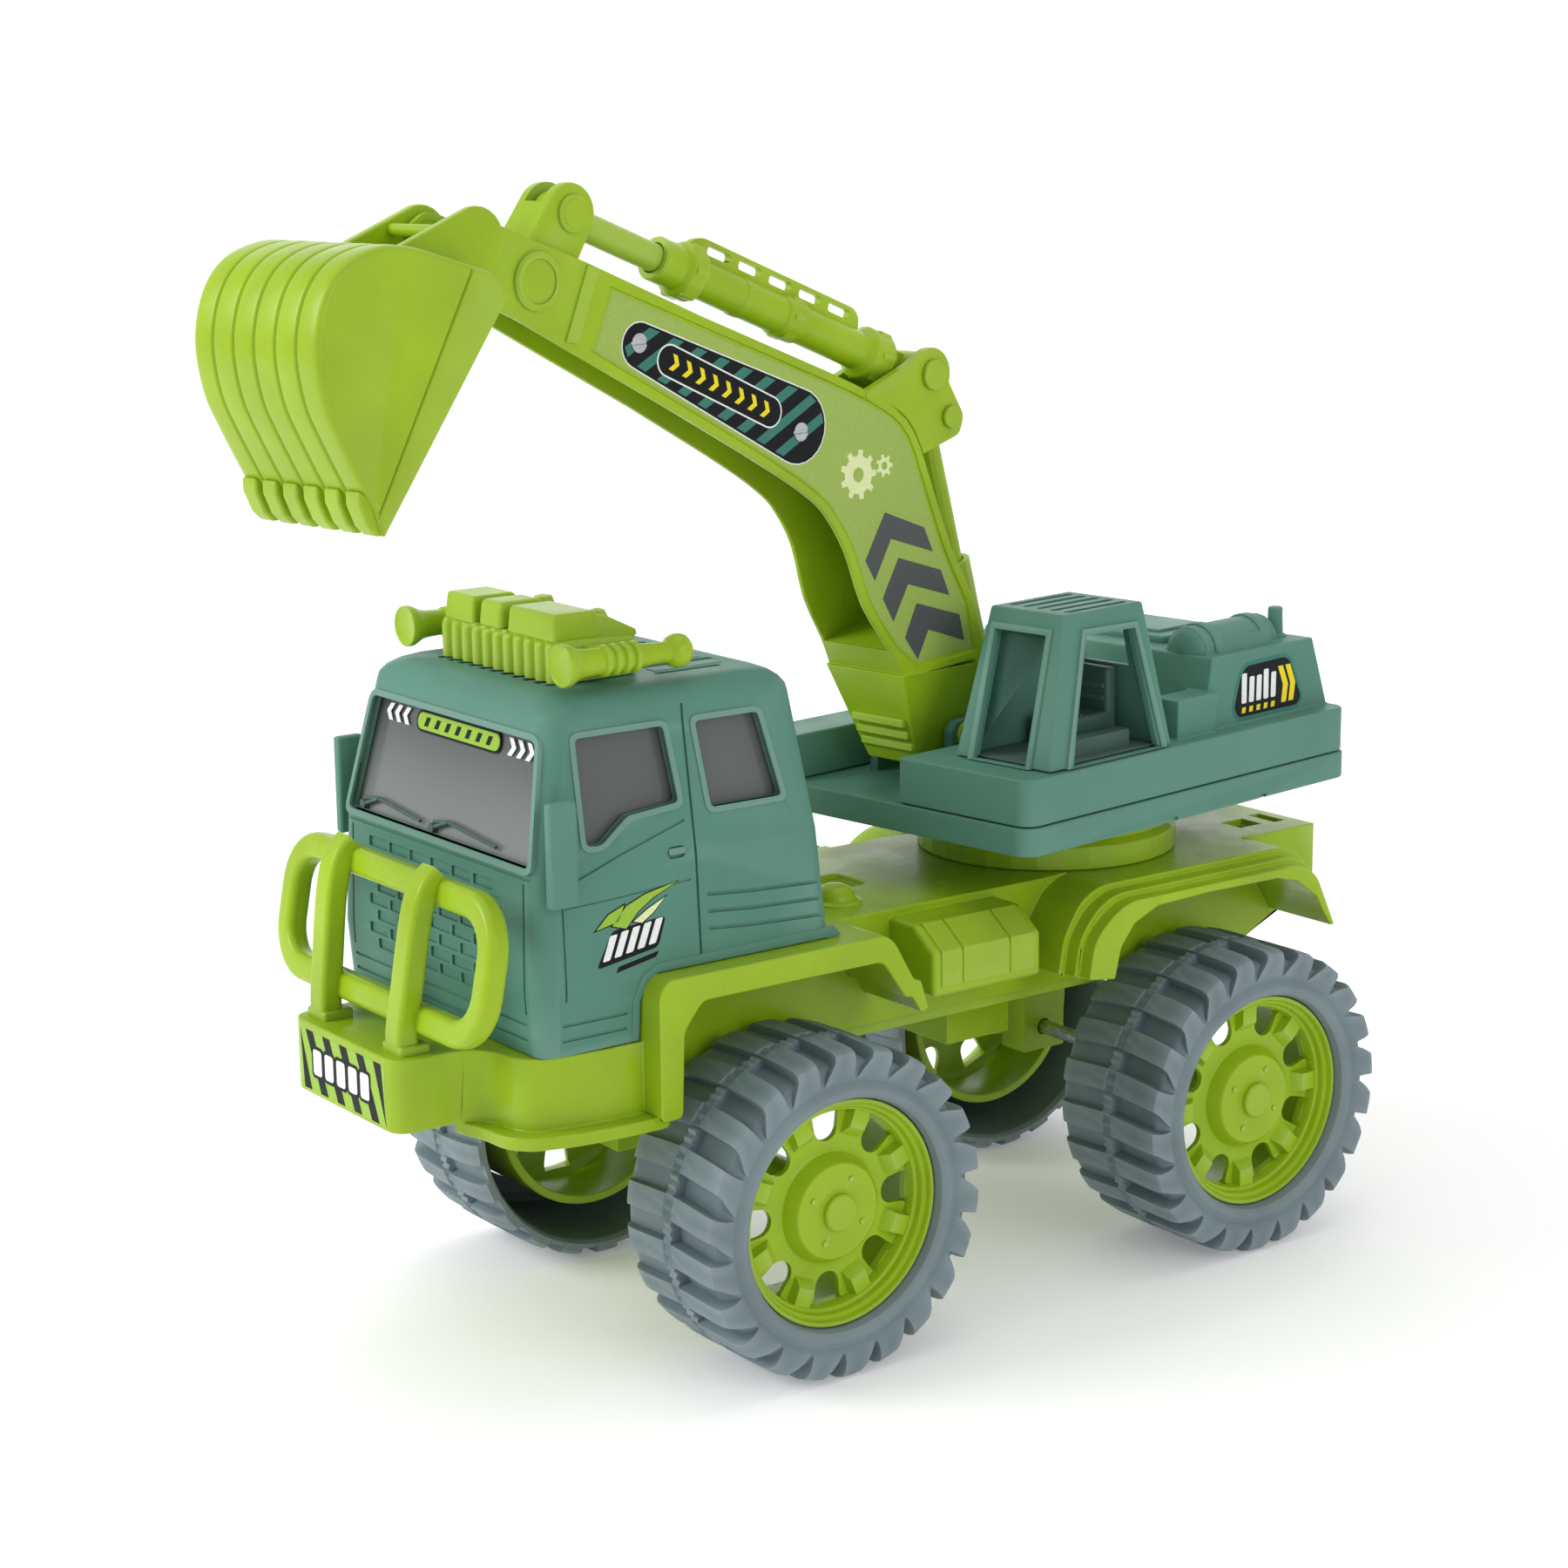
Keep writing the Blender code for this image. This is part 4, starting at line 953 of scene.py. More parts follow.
def boom_stickers():
    """Panel film, striped pill with its plate and screws, gears and chevrons on both sides."""
    for side, label in SIDES:
        boom_sticker(f"panel_film_{label}", panel_outline(), FILM, 0.06, side)
        for name, more, ink, lift in (("pill_edge", 0.4, WHITE_INK, 0.14), ("pill", 0.0, BLACK_INK, 0.20)):
            outline = capsule_outline(PILL_START, PILL_END, PILL_SMALL + more, PILL_LARGE + more)
            boom_sticker(f"{name}_{label}", outline, ink, lift, side)
        run = Vector(PILL_END) - Vector(PILL_START)
        length = run.length
        run.normalize()
        across = Vector((-run.y, run.x))
        slant = (run * 0.62 + across * 0.78).normalized()
        for number in range(9):
            along = -3.4 + number * 9.2
            strip = []
            for offset in (0.0, 3.9):
                for share in ((-1, 1) if offset == 0 else (1, -1)):
                    foot = Vector(PILL_START) + run * (along + offset)
                    reach = 0.0
                    while reach < 16 and inside_pill(foot + slant * share * reach, length, run):
                        reach += 0.25
                    strip.append(tuple(foot + slant * share * max(reach - 0.5, 0.0)))
            ends = [(Vector(strip[i]) - Vector(strip[i + 1])).length for i in (0, 2)]
            if min(ends) > 3:
                boom_sticker(f"pill_stripe_{number}_{label}", strip, TEAL_INK, 0.26, side)
        plate_start, plate_end = Vector(PILL_START) + run * 12.2, Vector(PILL_START) + run * 55.5
        for name, radius, ink, lift in (("pill_plate_edge", 4.9, WHITE_INK, 0.31),
                                        ("pill_plate", 4.4, BLACK_INK, 0.36)):
            outline = capsule_outline(plate_start, plate_end, radius, radius)
            boom_sticker(f"{name}_{label}", outline, ink, lift, side)
        for number in range(8):
            middle = plate_start + run * (2.0 + number * 5.6)
            mark = [tuple(middle + run * a + across * b) for a, b in PILL_MARK]
            boom_sticker(f"pill_mark_{number}_{label}", mark, YELLOW_INK, 0.41, side)
        for number, (y, z) in enumerate(((-170.1, 299.2), (-106.5, 268.5))):
            x = on_boom(y, z, side)
            head = rod(2.9, "x", (y, z), *sorted((x, x + side * 0.7)), 28)
            cut(head, box(sorted((x + side * 0.35, x + side)), (y - 3.2, y + 3.2), (z - 0.45, z + 0.45)))
            rounded(head, 0.15, 2)
            hang(head, f"pill_screw_{number}_{label}", "boom_arm", SLEW, STEEL)
        for number, (centre, outer, inner, teeth, hole) in enumerate(GEARS):
            outline = gear_outline(centre, outer, inner, teeth)
            boom_sticker(f"gear_{number}_{label}", outline, PALE_INK, 0.16, side,
                         arc(centre, hole, 0, 345, 23))
        for number, outline in enumerate(CHEVRONS):
            boom_sticker(f"chevron_{number}_{label}", outline, GREY_INK, 0.15, side)


def inside_pill(point, length, run):
    """Whether a point lies on the pill, short of its edge."""
    along = min(max((point - Vector(PILL_START)).dot(run), 0.0), length)
    nearest = Vector(PILL_START) + run * along
    return (point - nearest).length < PILL_SMALL + (PILL_LARGE - PILL_SMALL) * along / length - 0.4


ROCKER_HALF = 7.3
LUG_CAP = ((0, 0.1), (5.4, 0.1), (5.4, 0.9), (4.9, 1.4), (4.2, 1.5), (0, 1.5))


def rocker():
    """Rounded lever on the boom's nose with a boss round the lug pin."""
    outline = hull([(*LUG_PIVOT, 8.75), (*ROCKER_PIVOT, 7), (-200, 322, 8)], 40)
    lever = rounded(prism("x", outline, *span(ROCKER_HALF)), 1.3, 3, 50)
    y, z = LUG_PIVOT
    cut(lever, prism("x", [(y - 7.5, z + 14), (y - 9, z - 10), (y + 14, z - 16), (y + 14, z + 14)],
                     *span(3.8)))
    cut(lever, rod(3.3, "x", ROCKER_PIVOT, *span(9)))
    cut(lever, rod(2.5, "x", LUG_PIVOT, *span(9)))
    hang(lever, "rounded_rocker", "nose_rocker", SLEW, LIME, ["rocker"])
    for side, label in SIDES:
        profile = outward(LUG_CAP, BOOM_X + side * ROCKER_HALF, side)
        cap = turned(profile, "x", LUG_PIVOT, 48)
        hang(cap, f"lug_cap_{label}", "nose_rocker", SLEW, LIME)


# (radius, along) from the barrel's eye to its open end
BARREL_PROFILE = (
    (0, 9), (4.8, 9), (5, 9.4), (5, 12.8), (8.2, 13.6), (8.4, 14), (8.4, 21.6), (8.0, 22.2), (6.2, 24),
    (6, 24.6), (6, 51.5), (6.2, 52), (6.7, 52.4), (6.8, 53), (6.8, 60), (6.7, 60.6), (6.2, 61),
    (6, 61.6), (6, 76), (6.3, 76.4), (6.3, 79), (6, 79.4), (6, 95.6), (6.4, 96.4), (8.1, 97.8),
    (8.4, 98.4), (8.4, 103.6), (8.1, 104.2), (6.8, 105.4), (6.8, 106.8), (6.7, 113.4), (6.2, 114),
    (4.7, 114), (4.7, 60), (0, 60),
)


def arm_cylinder():
    """Ringed barrel with hexagonal nuts and a ladder rail, and the smooth rod that slides in it."""
    length = hypot(LUG_PIVOT[0] - CYLINDER_PIVOT[0], LUG_PIVOT[1] - CYLINDER_PIVOT[1])
    barrel = turned(BARREL_PROFILE, "z", (0, 0), 56)
    add(barrel, box((-3, 3), (-4.5, 4.5), (4, 12)))
    add(barrel, rounded(rod(7, "x", (0, 0), -6.6, 6.6), 0.5, 2))
    for start, radius, long in ((14.2, 9.2, 5.4), (54.2, 7.6, 4.6), (98.4, 9.4, 5.2)):
        nut = turned([(0, start), (radius, start), (radius, start + long), (0, start + long)], "z", (0, 0),
                     6)
        add(barrel, rounded(nut, 0.5, 2))
    rail = prism("x", softened([(5, 26), (9.5, 27), (11.6, 30), (11.6, 98), (9.6, 102), (5, 104)], 2, 4),
                 -1.4, 1.4)
    for start in (31.5, 45, 58.5, 72, 85.5):
        cut(rail, prism("x", rounded_rectangle((7.4, 10.2), (start, start + 9.5), 1.0, 4), -3, 3))
    add(barrel, rounded(rail, 0.35, 2))
    cut(barrel, rod(3.3, "x", (0, 0), -9, 9))
    hang(tilted(barrel, CYLINDER_PIVOT, LUG_PIVOT), "ringed_barrel", "arm_barrel", SLEW, LIME,
         ["arm_cylinder_barrel"])
    piston = rod(4.3, "z", (0, 0), length - 76, length - 10.5)
    add(piston, rounded(box((-3.2, 3.2), (-3, 3), (length - 12, length - 3)), 0.4, 2))
    add(piston, rounded(rod(6.2, "x", (0, length), -3.2, 3.2), 0.5, 2))
    cut(piston, rod(3.4, "x", (0, length), -9, 9))
    hang(tilted(piston, CYLINDER_PIVOT, LUG_PIVOT), "smooth_rod", "arm_rod", SLEW, LIME,
         ["arm_cylinder_rod"])


bucket()
BOOM_SIDES = boom()
boom_stickers()
rocker()
arm_cylinder()


# ---------------------------------------------------------------- excavator top

TURRET_DECK = 165.0
TURRET_CAB_TOP = 211.0


def climbed(height):
    """Share of the operator's cab's height that lies below a height."""
    return (height - TURRET_DECK) / (TURRET_CAB_TOP - TURRET_DECK)


def turret_skirt():
    """Lower half of the turret's housing, with two small notches in each long side."""
    base = from_cad("turret_base", TO_SLEW)
    rounded(base, 0.7, 3, 40)
    for y in (-9, 37):
        for side in (-1, 1):
            cut(base, box(beside(side, 59.4, 62), (y, y + 3.2), (139.5, 142.4)))
    hang(base, "soft_skirt", "turret", SLEW, TEAL, ["turret_base"])


def turret_body():
    """Deck with its pit, the ribbed engine housing, the round-ended tanks and the capped filler."""
    body = from_cad("turret_body", TO_SLEW)
    rounded(body, 0.7, 3, 40)
    trims = [rounded(frustum(((26.4, 45.8), (33, 61), 187.6), ((28.4, 43.8), (35, 59), 192.6)), 0.7, 3)]
    for y in (32.6, 57.4):
        trims.append(turned([(0, y), (8.9, y), (9.2, y + 0.5), (9.2, y + 3.5), (8.9, y + 4), (0, y + 4)],
                            "y", (36, 188), 48))
    for y, out in ((28.2, -1), (65.8, 1)):
        dome = ((0, 3.4), (3.2, 3.0), (6.0, 1.9), (7.8, 0.4), (8.5, -1.2), (0, -1.2))
        trims.append(turned(outward(dome, y, out), "y", (36, 188), 48))
    second = [(0, 27.6), (4.2, 28.2), (6.2, 29.8), (7, 32), (7, 62), (6.2, 64.2), (4.2, 65.8), (0, 66.4)]
    trims.append(turned(second, "y", (-34, 187), 48))
    for y in (36, 55):
        trims.append(turned([(0, y), (7.5, y), (7.6, y + 0.4), (7.6, y + 2.2), (7.5, y + 2.6),
                             (0, y + 2.6)], "y", (-34, 187), 48))
    trims.append(rounded(box((-20, 20), (36, 66), (187.4, 190.4)), 0.9, 3))
    trims.append(rounded(box((-14, 14), (41, 61), (190.2, 191.4)), 0.4, 2))
    cap = [(0, 187), (3.9, 187), (3.9, 188.4), (2.7, 189.2), (2.5, 195.0), (2.4, 196.6), (1.7, 197.6),
           (0, 198)]
    trims.append(turned(cap, "z", (38, 73), 40))
    hang(joined(body, *trims), "detailed_turret_body", "turret", SLEW, TEAL, ["turret_body"])


def turret_cab():
    """Operator's cab with bordered openings and five grooves along its roof."""
    cab = from_cad("turret_cab", TO_SLEW)
    rounded(cab, 0.9, 3, 40)
    for number in range(5):
        middle = 22.5 + number * 5.6
        slot = rounded_rectangle((middle - 1.3, middle + 1.3), (-43.5, -14.5), 1.25, 5)
        cut(cab, prism("z", slot, TURRET_CAB_TOP - 1.0, TURRET_CAB_TOP + 2))

    def on_side_wall(y, z, out):
        return 57.5 - 9.0 * climbed(z) + out, y, max(z, TURRET_DECK + 0.4)

    def on_front_wall(x, z, out):
        return x, -64.5 + 16.5 * climbed(z) - out, max(z, TURRET_DECK + 0.4)

    side_hole = [(-54.7, 165.6), (-11.5, 165.6), (-16.5, 203.5), (-40, 204)]
    front_hole = [(26, 165.6), (47.5, 165.6), (43.5, 204.5), (22.5, 204.5)]
    frames = []
    for place, hole in ((on_side_wall, side_hole), (on_front_wall, front_hole)):
        frames.append(border(place, inset_loop(hole, -1.9), hole, 0.7, 1))
    hang(joined(cab, *frames), "detailed_turret_cab", "turret", SLEW, TEAL, ["turret_cab"], 30)


def seat():
    """Bucket seat with a padded back, two ribs across its cushion and two across its back."""
    pieces = [rounded(box((25.2, 41.8), (-36, -14.2), (165.4, 175.8)), 1.6, 3),
              rounded(box((25.2, 41.8), (-19, -14.2), (174, 189.8)), 1.6, 3)]
    for y in (-33.2, -29.4):
        pieces.append(rounded(box((27, 40), (y - 0.8, y + 0.8), (175.4, 176.2)), 0.3, 2))
    for z in (180, 184):
        pieces.append(rounded(box((27, 40), (-19.4, -18), (z - 0.9, z + 0.9)), 0.3, 2))
    hang(joined(*pieces), "padded_seat", "turret", SLEW, DARK_TEAL, ["operator_seat"])


def housing_film(name, outline, side, material, lift):
    """Printed film on the leaning side wall of the engine housing, given as (y, z) points."""
    foot, lean = (52.6, 3.3) if side > 0 else (54, 4)

    def place(y, z, out):
        return side * (foot - lean * (z - 163) / 25 + out), y, z

    hang(skin(place, outline, -0.1, lift), name, "turret", SLEW, material)


def housing_stickers():
    """A dark rounded plate with plain slanted blocks and a yellow chevron tab."""
    plate = [(35.5, 167.2), (67.0, 167.2), (69.6, 169.4), (65.2, 182.2), (62.6, 183.6), (42.0, 183.2),
             (38.6, 180.4), (33.6, 170.4)]
    for side, label in SIDES:
        housing_film(f"plate_edge_{label}", softened(inset_loop(plate, -1.3), 2.4), side, TEAL_INK, 0.08)
        housing_film(f"plate_{label}", softened(plate, 2.0), side, BLACK_INK, 0.13)
        for number in range(5):
            y = 37.6 + number * 3.9
            tall = 181.0 if number in (0, 3) else 179.6
            block = [(y, 171.4), (y + 2.6, 171.4), (y + 4.2, tall), (y + 1.6, tall)]
            housing_film(f"plate_block_{number}_{label}", softened(block, 0.6), side, WHITE_INK, 0.19)
            dash = [(y - 0.4, 168.3), (y + 1.5, 168.3), (y + 2.1, 170.1), (y + 0.2, 170.1)]
            housing_film(f"plate_dash_{number}_{label}", dash, side, YELLOW_INK, 0.19)
        for number in range(2):
            y = 58.6 + number * 4.0
            tab = [(y, 169.0), (y + 2.6, 169.0), (y + 4.6, 174.8), (y + 2.6, 181.0), (y, 181.0),
                   (y + 1.8, 174.8)]
            housing_film(f"plate_tab_{number}_{label}", tab, side, YELLOW_INK, 0.19)


def dark_shade_plate_in_cab():
    """Dark plate over the operator's cab floor, painted shade for the shadowed pit inside the cab, with a console
    under the sill.
    """
    # painted shade: this thin dark plate stands in for the shadow that falls on the cab's floor
    pieces = [rounded(box((21.4, 54.0), (-60.8, -9.4), (165.35, 165.9)), 0.15, 1),
              rounded(box((44.5, 50.5), (-46, -18), (165.6, 171.6)), 0.8, 2)]
    hang(joined(*pieces), "dark_shade_plate_in_cab", "turret", SLEW, DARK_TEAL)


turret_skirt()
turret_body()
housing_stickers()
turret_cab()
seat()
dark_shade_plate_in_cab()


# ---------------------------------------------------------------- driver's cab

CAB_SECTIONS = (             # height, half-width, front, rear, corner radius
    (106.0, 56.0, -84.0, 18.0, 5.5),
    (125.0, 57.5, -85.0, 17.5, 6.0),
    (158.0, 56.0, -84.0, 15.0, 6.5),
    (199.0, 50.6, -75.7, 9.5, 7.0),
)
CAB_ROOF = 206.3
ROOF_EDGE = 9.6              # how far the roof's rounded edge reaches inwards
ARCH_TOP = 125.25
DOOR_WINDOW = ((-68, 195), (-38.5, 195), (-35.5, 173), (-53, 171.5), (-62.5, 164.5), (-67.5, 165))
REAR_WINDOW = ((-27.5, 195), (-5.5, 195), (0.5, 170), (-24.5, 170))
WINDSCREEN = ((45.7, 194.5), (-45.7, 194.5), (-51, 160), (51, 160))


def cab_wall(height):
    """Half-width, front and rear of the cab at a height up to the roof edge."""
    for low, high in zip(CAB_SECTIONS, CAB_SECTIONS[1:]):
        if height <= high[0] or high is CAB_SECTIONS[-1]:
            share = (height - low[0]) / (high[0] - low[0])
            return [low[i] + share * (high[i] - low[i]) for i in (1, 2, 3)]


def on_side(side):
    """Places points on the cab's leaning side wall."""
    return lambda y, z, out: (side * (cab_wall(z)[0] + out), y, z)


def on_front(x, z, out):
    return x, cab_wall(z)[1] - out, z


def on_rear(x, z, out):
    return x, cab_wall(z)[2] + out, z


def cab_outline(section, wall):
    height, half, front, rear, radius = section
    ring = rounded_rectangle((wall - half, half - wall), (front + wall, rear - wall), radius - min(wall, 3))
    return [(x, y, height) for x, y in ring]


def cab_form(wall=0.0, drop=0.0):
    """The cab's outer form with a softly turned roof edge, or its hollow inside a wall."""
    rings = [cab_outline(section, wall) for section in CAB_SECTIONS]
    height, half, front, rear, radius = CAB_SECTIONS[-1]
    for degrees_round in (18, 36, 54, 72, 90):
        angle = radians(degrees_round)
        pull = ROOF_EDGE * (1 - cos(angle))
        level = height + (CAB_ROOF - height) * sin(angle)
        section = (level, half - pull, front + pull * 1.15, rear - pull * 0.85, radius + pull * 0.3)
        rings.append(cab_outline(section, wall))
    if drop:
        rings[0] = [(x, y, z - 6) for x, y, z in rings[0]]
        rings = [[(x, y, z - drop * (z > 150)) for x, y, z in ring] for ring in rings]
    return loft(rings)


def framed(place, outline, width, proud, sink, corner):
    """A raised border round a window opening; corner is the opening's corner radius."""
    outer = softened(inset_loop(outline, -width), corner + 1.5)
    return border(place, outer, softened(outline, corner), proud, sink)


def cab():
    """Leaning cab with grooved doors, framed windows, a brick-patterned grille and a ribbed roof."""
    shell = cut(cab_form(), cab_form(2.0, 2.0))
    arch = [(-51.7, 90), (-51.7, 118), (-49.2, 123.2), (-45.5, ARCH_TOP), (40, ARCH_TOP), (40, 90)]
    cut(shell, prism("x", arch, -70, 70))
    for window in (DOOR_WINDOW, REAR_WINDOW):
        cut(shell, prism("x", softened(window, 1.6), -70, 70))
    cut(shell, prism("y", softened(WINDSCREEN, 2.4), -100, -60))
    for side in (-1, 1):
        seam = [(-31.2, 200.4), *between((-31.4, 196), (-30.6, 126.5), 12)]
        lead = between((-76.5, 160), (-76.5, 122), 6)
        swage = [(-75.5, 148.5), (-60, 148.9), (-33, 150.4)]
        sill = [(-72.5, 155.6), (-56, 161.2), (-34, 167.6)]
        grooves = [(seam, 0.9, 0.8), (lead, 0.7, 0.5), (swage, 0.5, 0.35), (sill, 0.8, 0.5)]
        for height in (142.6, 137.6, 132.6):
            grooves.append(([(-27.5, height + 2.6), (-12, height + 1.2), (14.0, height)], 1.1, 0.75))
        for height in (110.5, 115.0):
            grooves.append(([(-77.5, height), (-56.0, height)], 0.9, 0.5))
        for chain, width, depth in grooves:
            cut(shell, groove(on_side(side), chain, width, depth))
        handle = rounded_rectangle((-40.5, -34.5), (157.2, 160.6), 1.4, 4)
        cut(shell, skin(on_side(side), handle, -1.0, 2.0))
    cut(shell, groove(on_front, [(-53, 157.0), (53, 157.0)], 0.9, 0.6))
    for height in (110.5, 115.0):
        cut(shell, groove(on_front, [(-49, height), (49, height)], 0.9, 0.5))
    for side in (-1, 1):
        cut(shell, groove(on_front, [(side * 48.5, 155.5), (side * 49.0, 118)], 0.8, 0.6))
    for row in range(8):
        height = 153.6 - row * 4.4
        for brick in range(6):
            x = -38.5 + (row % 2) * 4.6 + brick * 12
            mark = rounded_rectangle((x, x + 10.8), (height - 3.2, height), 0.6, 3)
            cut(shell, skin(on_front, mark, -0.7, 2.0))
    recess = softened([(-34, 134), (34, 134), (31, 186), (-31, 186)], 4)
    cut(shell, skin(on_rear, recess, -0.7, 3.0))
    trims = []
    for low in range(140, 180, 8):
        louvre = [(-28, low), (28, low), (28, low + 3), (-28, low + 3)]
        trims.append(rounded(skin(on_rear, louvre, -1.2, -0.1), 0.3, 2))
    for side in (-1, 1):
        for window in (DOOR_WINDOW, REAR_WINDOW):
            trims.append(framed(on_side(side), window, 1.7, 0.5, 1.4, 1.6))
        flange = [(-54.2, 107), (-54.2, 118.5), (-51.2, 125.2), (-45.8, 128.0), (17.4, 128.6),
                  (19.6, 125.4),
                  (-45.5, 125.4), (-49.3, 123.2), (-51.8, 118), (-51.8, 107)]
        trims.append(rounded(skin(on_side(side), flange, -1.2, 0.5), 0.3, 2))
        handle = softened([(-40.2, 158.4), (-34.8, 158.4), (-34.8, 160.2), (-40.2, 160.2)], 0.5)
        trims.append(skin(on_side(side), handle, -1.2, 0.45))
    trims.append(framed(on_front, WINDSCREEN, 1.8, 0.6, 1.6, 2.4))
    cut(shell, prism("z", rounded_rectangle((-31, 31), (-63.4, -55.4), 1.2, 3), CAB_ROOF - 0.9,
                     CAB_ROOF + 2))
    for x in (-34, -23, -12, 12, 23, 34):
        slot = rounded_rectangle((x - 1.4, x + 1.4), (-29, -1 if abs(x) < 30 else -6), 1.3, 4)
        cut(shell, prism("z", slot, CAB_ROOF - 0.8, CAB_ROOF + 2))
    hang(joined(shell, *trims), "detailed_cab", "chassis", TRUCK, TEAL, ["cab_shell"], 30)


def roof_details():
    """Sunken ribbed panel in front of the light bar and long raised ribs behind it."""
    pieces = []
    for x in range(-27, 28, 6):
        rib = prism("z", [(x - 2.2, -62.6), (x + 0.8, -62.6), (x + 2.2, -56.2), (x - 0.8, -56.2)],
                    CAB_ROOF - 1.2, CAB_ROOF - 0.1)
        pieces.append(rounded(rib, 0.2, 2))
    for x in (-28.5, -17.5, 17.5, 28.5):
        pieces.append(rounded(box((x - 2.4, x + 2.4), (-27, -3.4), (CAB_ROOF - 0.6, CAB_ROOF + 0.22)), 0.2,
                              2))
    hang(joined(*pieces), "roof_ribs", "chassis", TRUCK, TEAL)


def light_bar():
    """Corrugated bar with three lamp blocks and a grooved slab that slopes down behind them."""
    bottom, seat_level = CAB_ROOF + 0.35, 217.6
    outline = [(-31.6, -60.6)]
    for flute in range(11):
        x = -31.6 + flute * 5.75
        outline += [(x + 0.7, -60.6), (x + 1.4, -61.5), (x + 2.3, -62.0), (x + 3.6, -62.0),
                    (x + 4.5, -61.5), (x + 5.2, -60.6)]
    outline += [(31.9, -61.2), (31.9, -52), (31.0, -34.5), (29, -32.2), (-29, -32.2), (-31.0, -34.5),
                (-31.9, -52)]
    pieces = [loft([[(x, y, bottom) for x, y in outline],
                    [(x, y, 216.4) for x, y in outline],
                    [(x * 0.985, y * 0.992 - 0.2 * (y > -50), seat_level) for x, y in outline],
                    [(x * 0.96, max(y, -59.8) - 0.5 * (y > -50), 218.4) for x, y in outline]])]
    for low, high, top, radius in ((-30.6, -13.8, 226.0, 1.2), (-11.4, 1.4, 226.0, 1.8),
                                   (4.4, 30.8, 226.0, 1.6)):
        block = frustum(((low, high), (-60.6, -41.5), seat_level),
                        ((low + 0.6, high - 0.6), (-59.8, -45.4), top))
        pieces.append(rounded(block, radius, 4, 30))
    slope = [(-47, seat_level), (-47, 225.0), (-43, 224.4), (-32.8, 219.4), (-32.4, seat_level)]
    slab = prism("x", slope, 4.6, 30.6)
    for x in (14.2, 17.4, 20.6):
        cut(slab, box((x - 0.45, x + 0.45), (-46, -35), (217.9, 230)))
    pieces.append(rounded(slab, 0.4, 2))
    low_slope = [(-44.5, seat_level), (-44.5, 221.6), (-32.8, 219.2), (-32.4, seat_level)]
    pieces.append(rounded(prism("x", low_slope, -30, 3), 0.5, 2))
    pieces.append(turned([(0, 220), (3.4, 220), (3.5, 223.2), (2.6, 225.6), (0, 226.2)], "z", (-5.2, -41.5),
                         32))
    pieces.append(turned([(0, 220), (3.0, 220), (3.0, 223.4), (2.1, 225.2), (0, 225.8)], "z", (24.5, -42.0),
                         32))
    for side in (-1, 1):
        pieces.append(rounded(box(beside(side, 30, 40.6), (-52, -45.5), (211, 217)), 0.8, 2))
    hang(joined(*pieces), "corrugated_light_bar", "chassis", TRUCK, LIME, ["roof_light_bar"])


HORN_BELL = ((0, -66.2), (4.6, -66.5), (5.6, -67), (6.1, -66.8), (6.2, -66.0), (6.1, -64.9), (5.4, -63.4),
             (4.6, -61.8), (4.2, -60.0), (4.0, -57.4), (3.9, -54.2))
HORN_RINGS = (-53.6, -50.2, -46.8)
HORN_TAIL = ((4.5, -43.4), (4.6, -42.0), (3.6, -41.4), (3.2, -37), (3.0, -33), (3.2, -31.2), (4.3, -30.0),
             (4.9, -28.4), (5.0, -26.8), (4.5, -25.2), (3.4, -24.1), (1.6, -23.6), (0, -23.5))


def horns():
    """Flared horns with ringed necks, at both ends of the light bar."""
    profile = list(HORN_BELL)
    for start in HORN_RINGS:
        profile += [(4.5, start), (4.6, start + 1.4), (3.7, start + 2.0), (3.7, start + 2.8)]
    profile += HORN_TAIL
    for side, name in SIDES:
        horn = turned(profile, "y", (side * 43.3, 214.2), 56)
        hang(horn, f"flared_horn_{name}", "chassis", TRUCK, LIME, [f"roof_horn_{name}"])


def mirrors():
    """Tall mirrors with a glass on the rear face and a short arm to the door."""
    for side, name in SIDES:
        plate = rounded(box(beside(side, 58, 61.5), (-83, -74), (150, 180)), 1.1, 3)
        glass = rounded(box(beside(side, 58.6, 60.9), (-74.2, -73.8), (152, 178)), 0.15, 1)
        arm = rounded(box(beside(side, 55.5, 59), (-78.4, -75), (162, 170)), 0.6, 2)
        hang(joined(plate, glass, arm), f"soft_mirror_{name}", "chassis", TRUCK, TEAL,
             [f"mirror_{name}"])


def on_screen(x, z, lift):
    """A point just in front of the windscreen pane."""
    return (x, cab_wall(z)[1] + 2.75 - lift, z)


def screen_film(name, outline, material, lift):
    film = loft([[on_screen(x, z, depth) for x, z in outline] for depth in (-0.1, lift)])
    hang(film, name, "chassis", TRUCK, material)


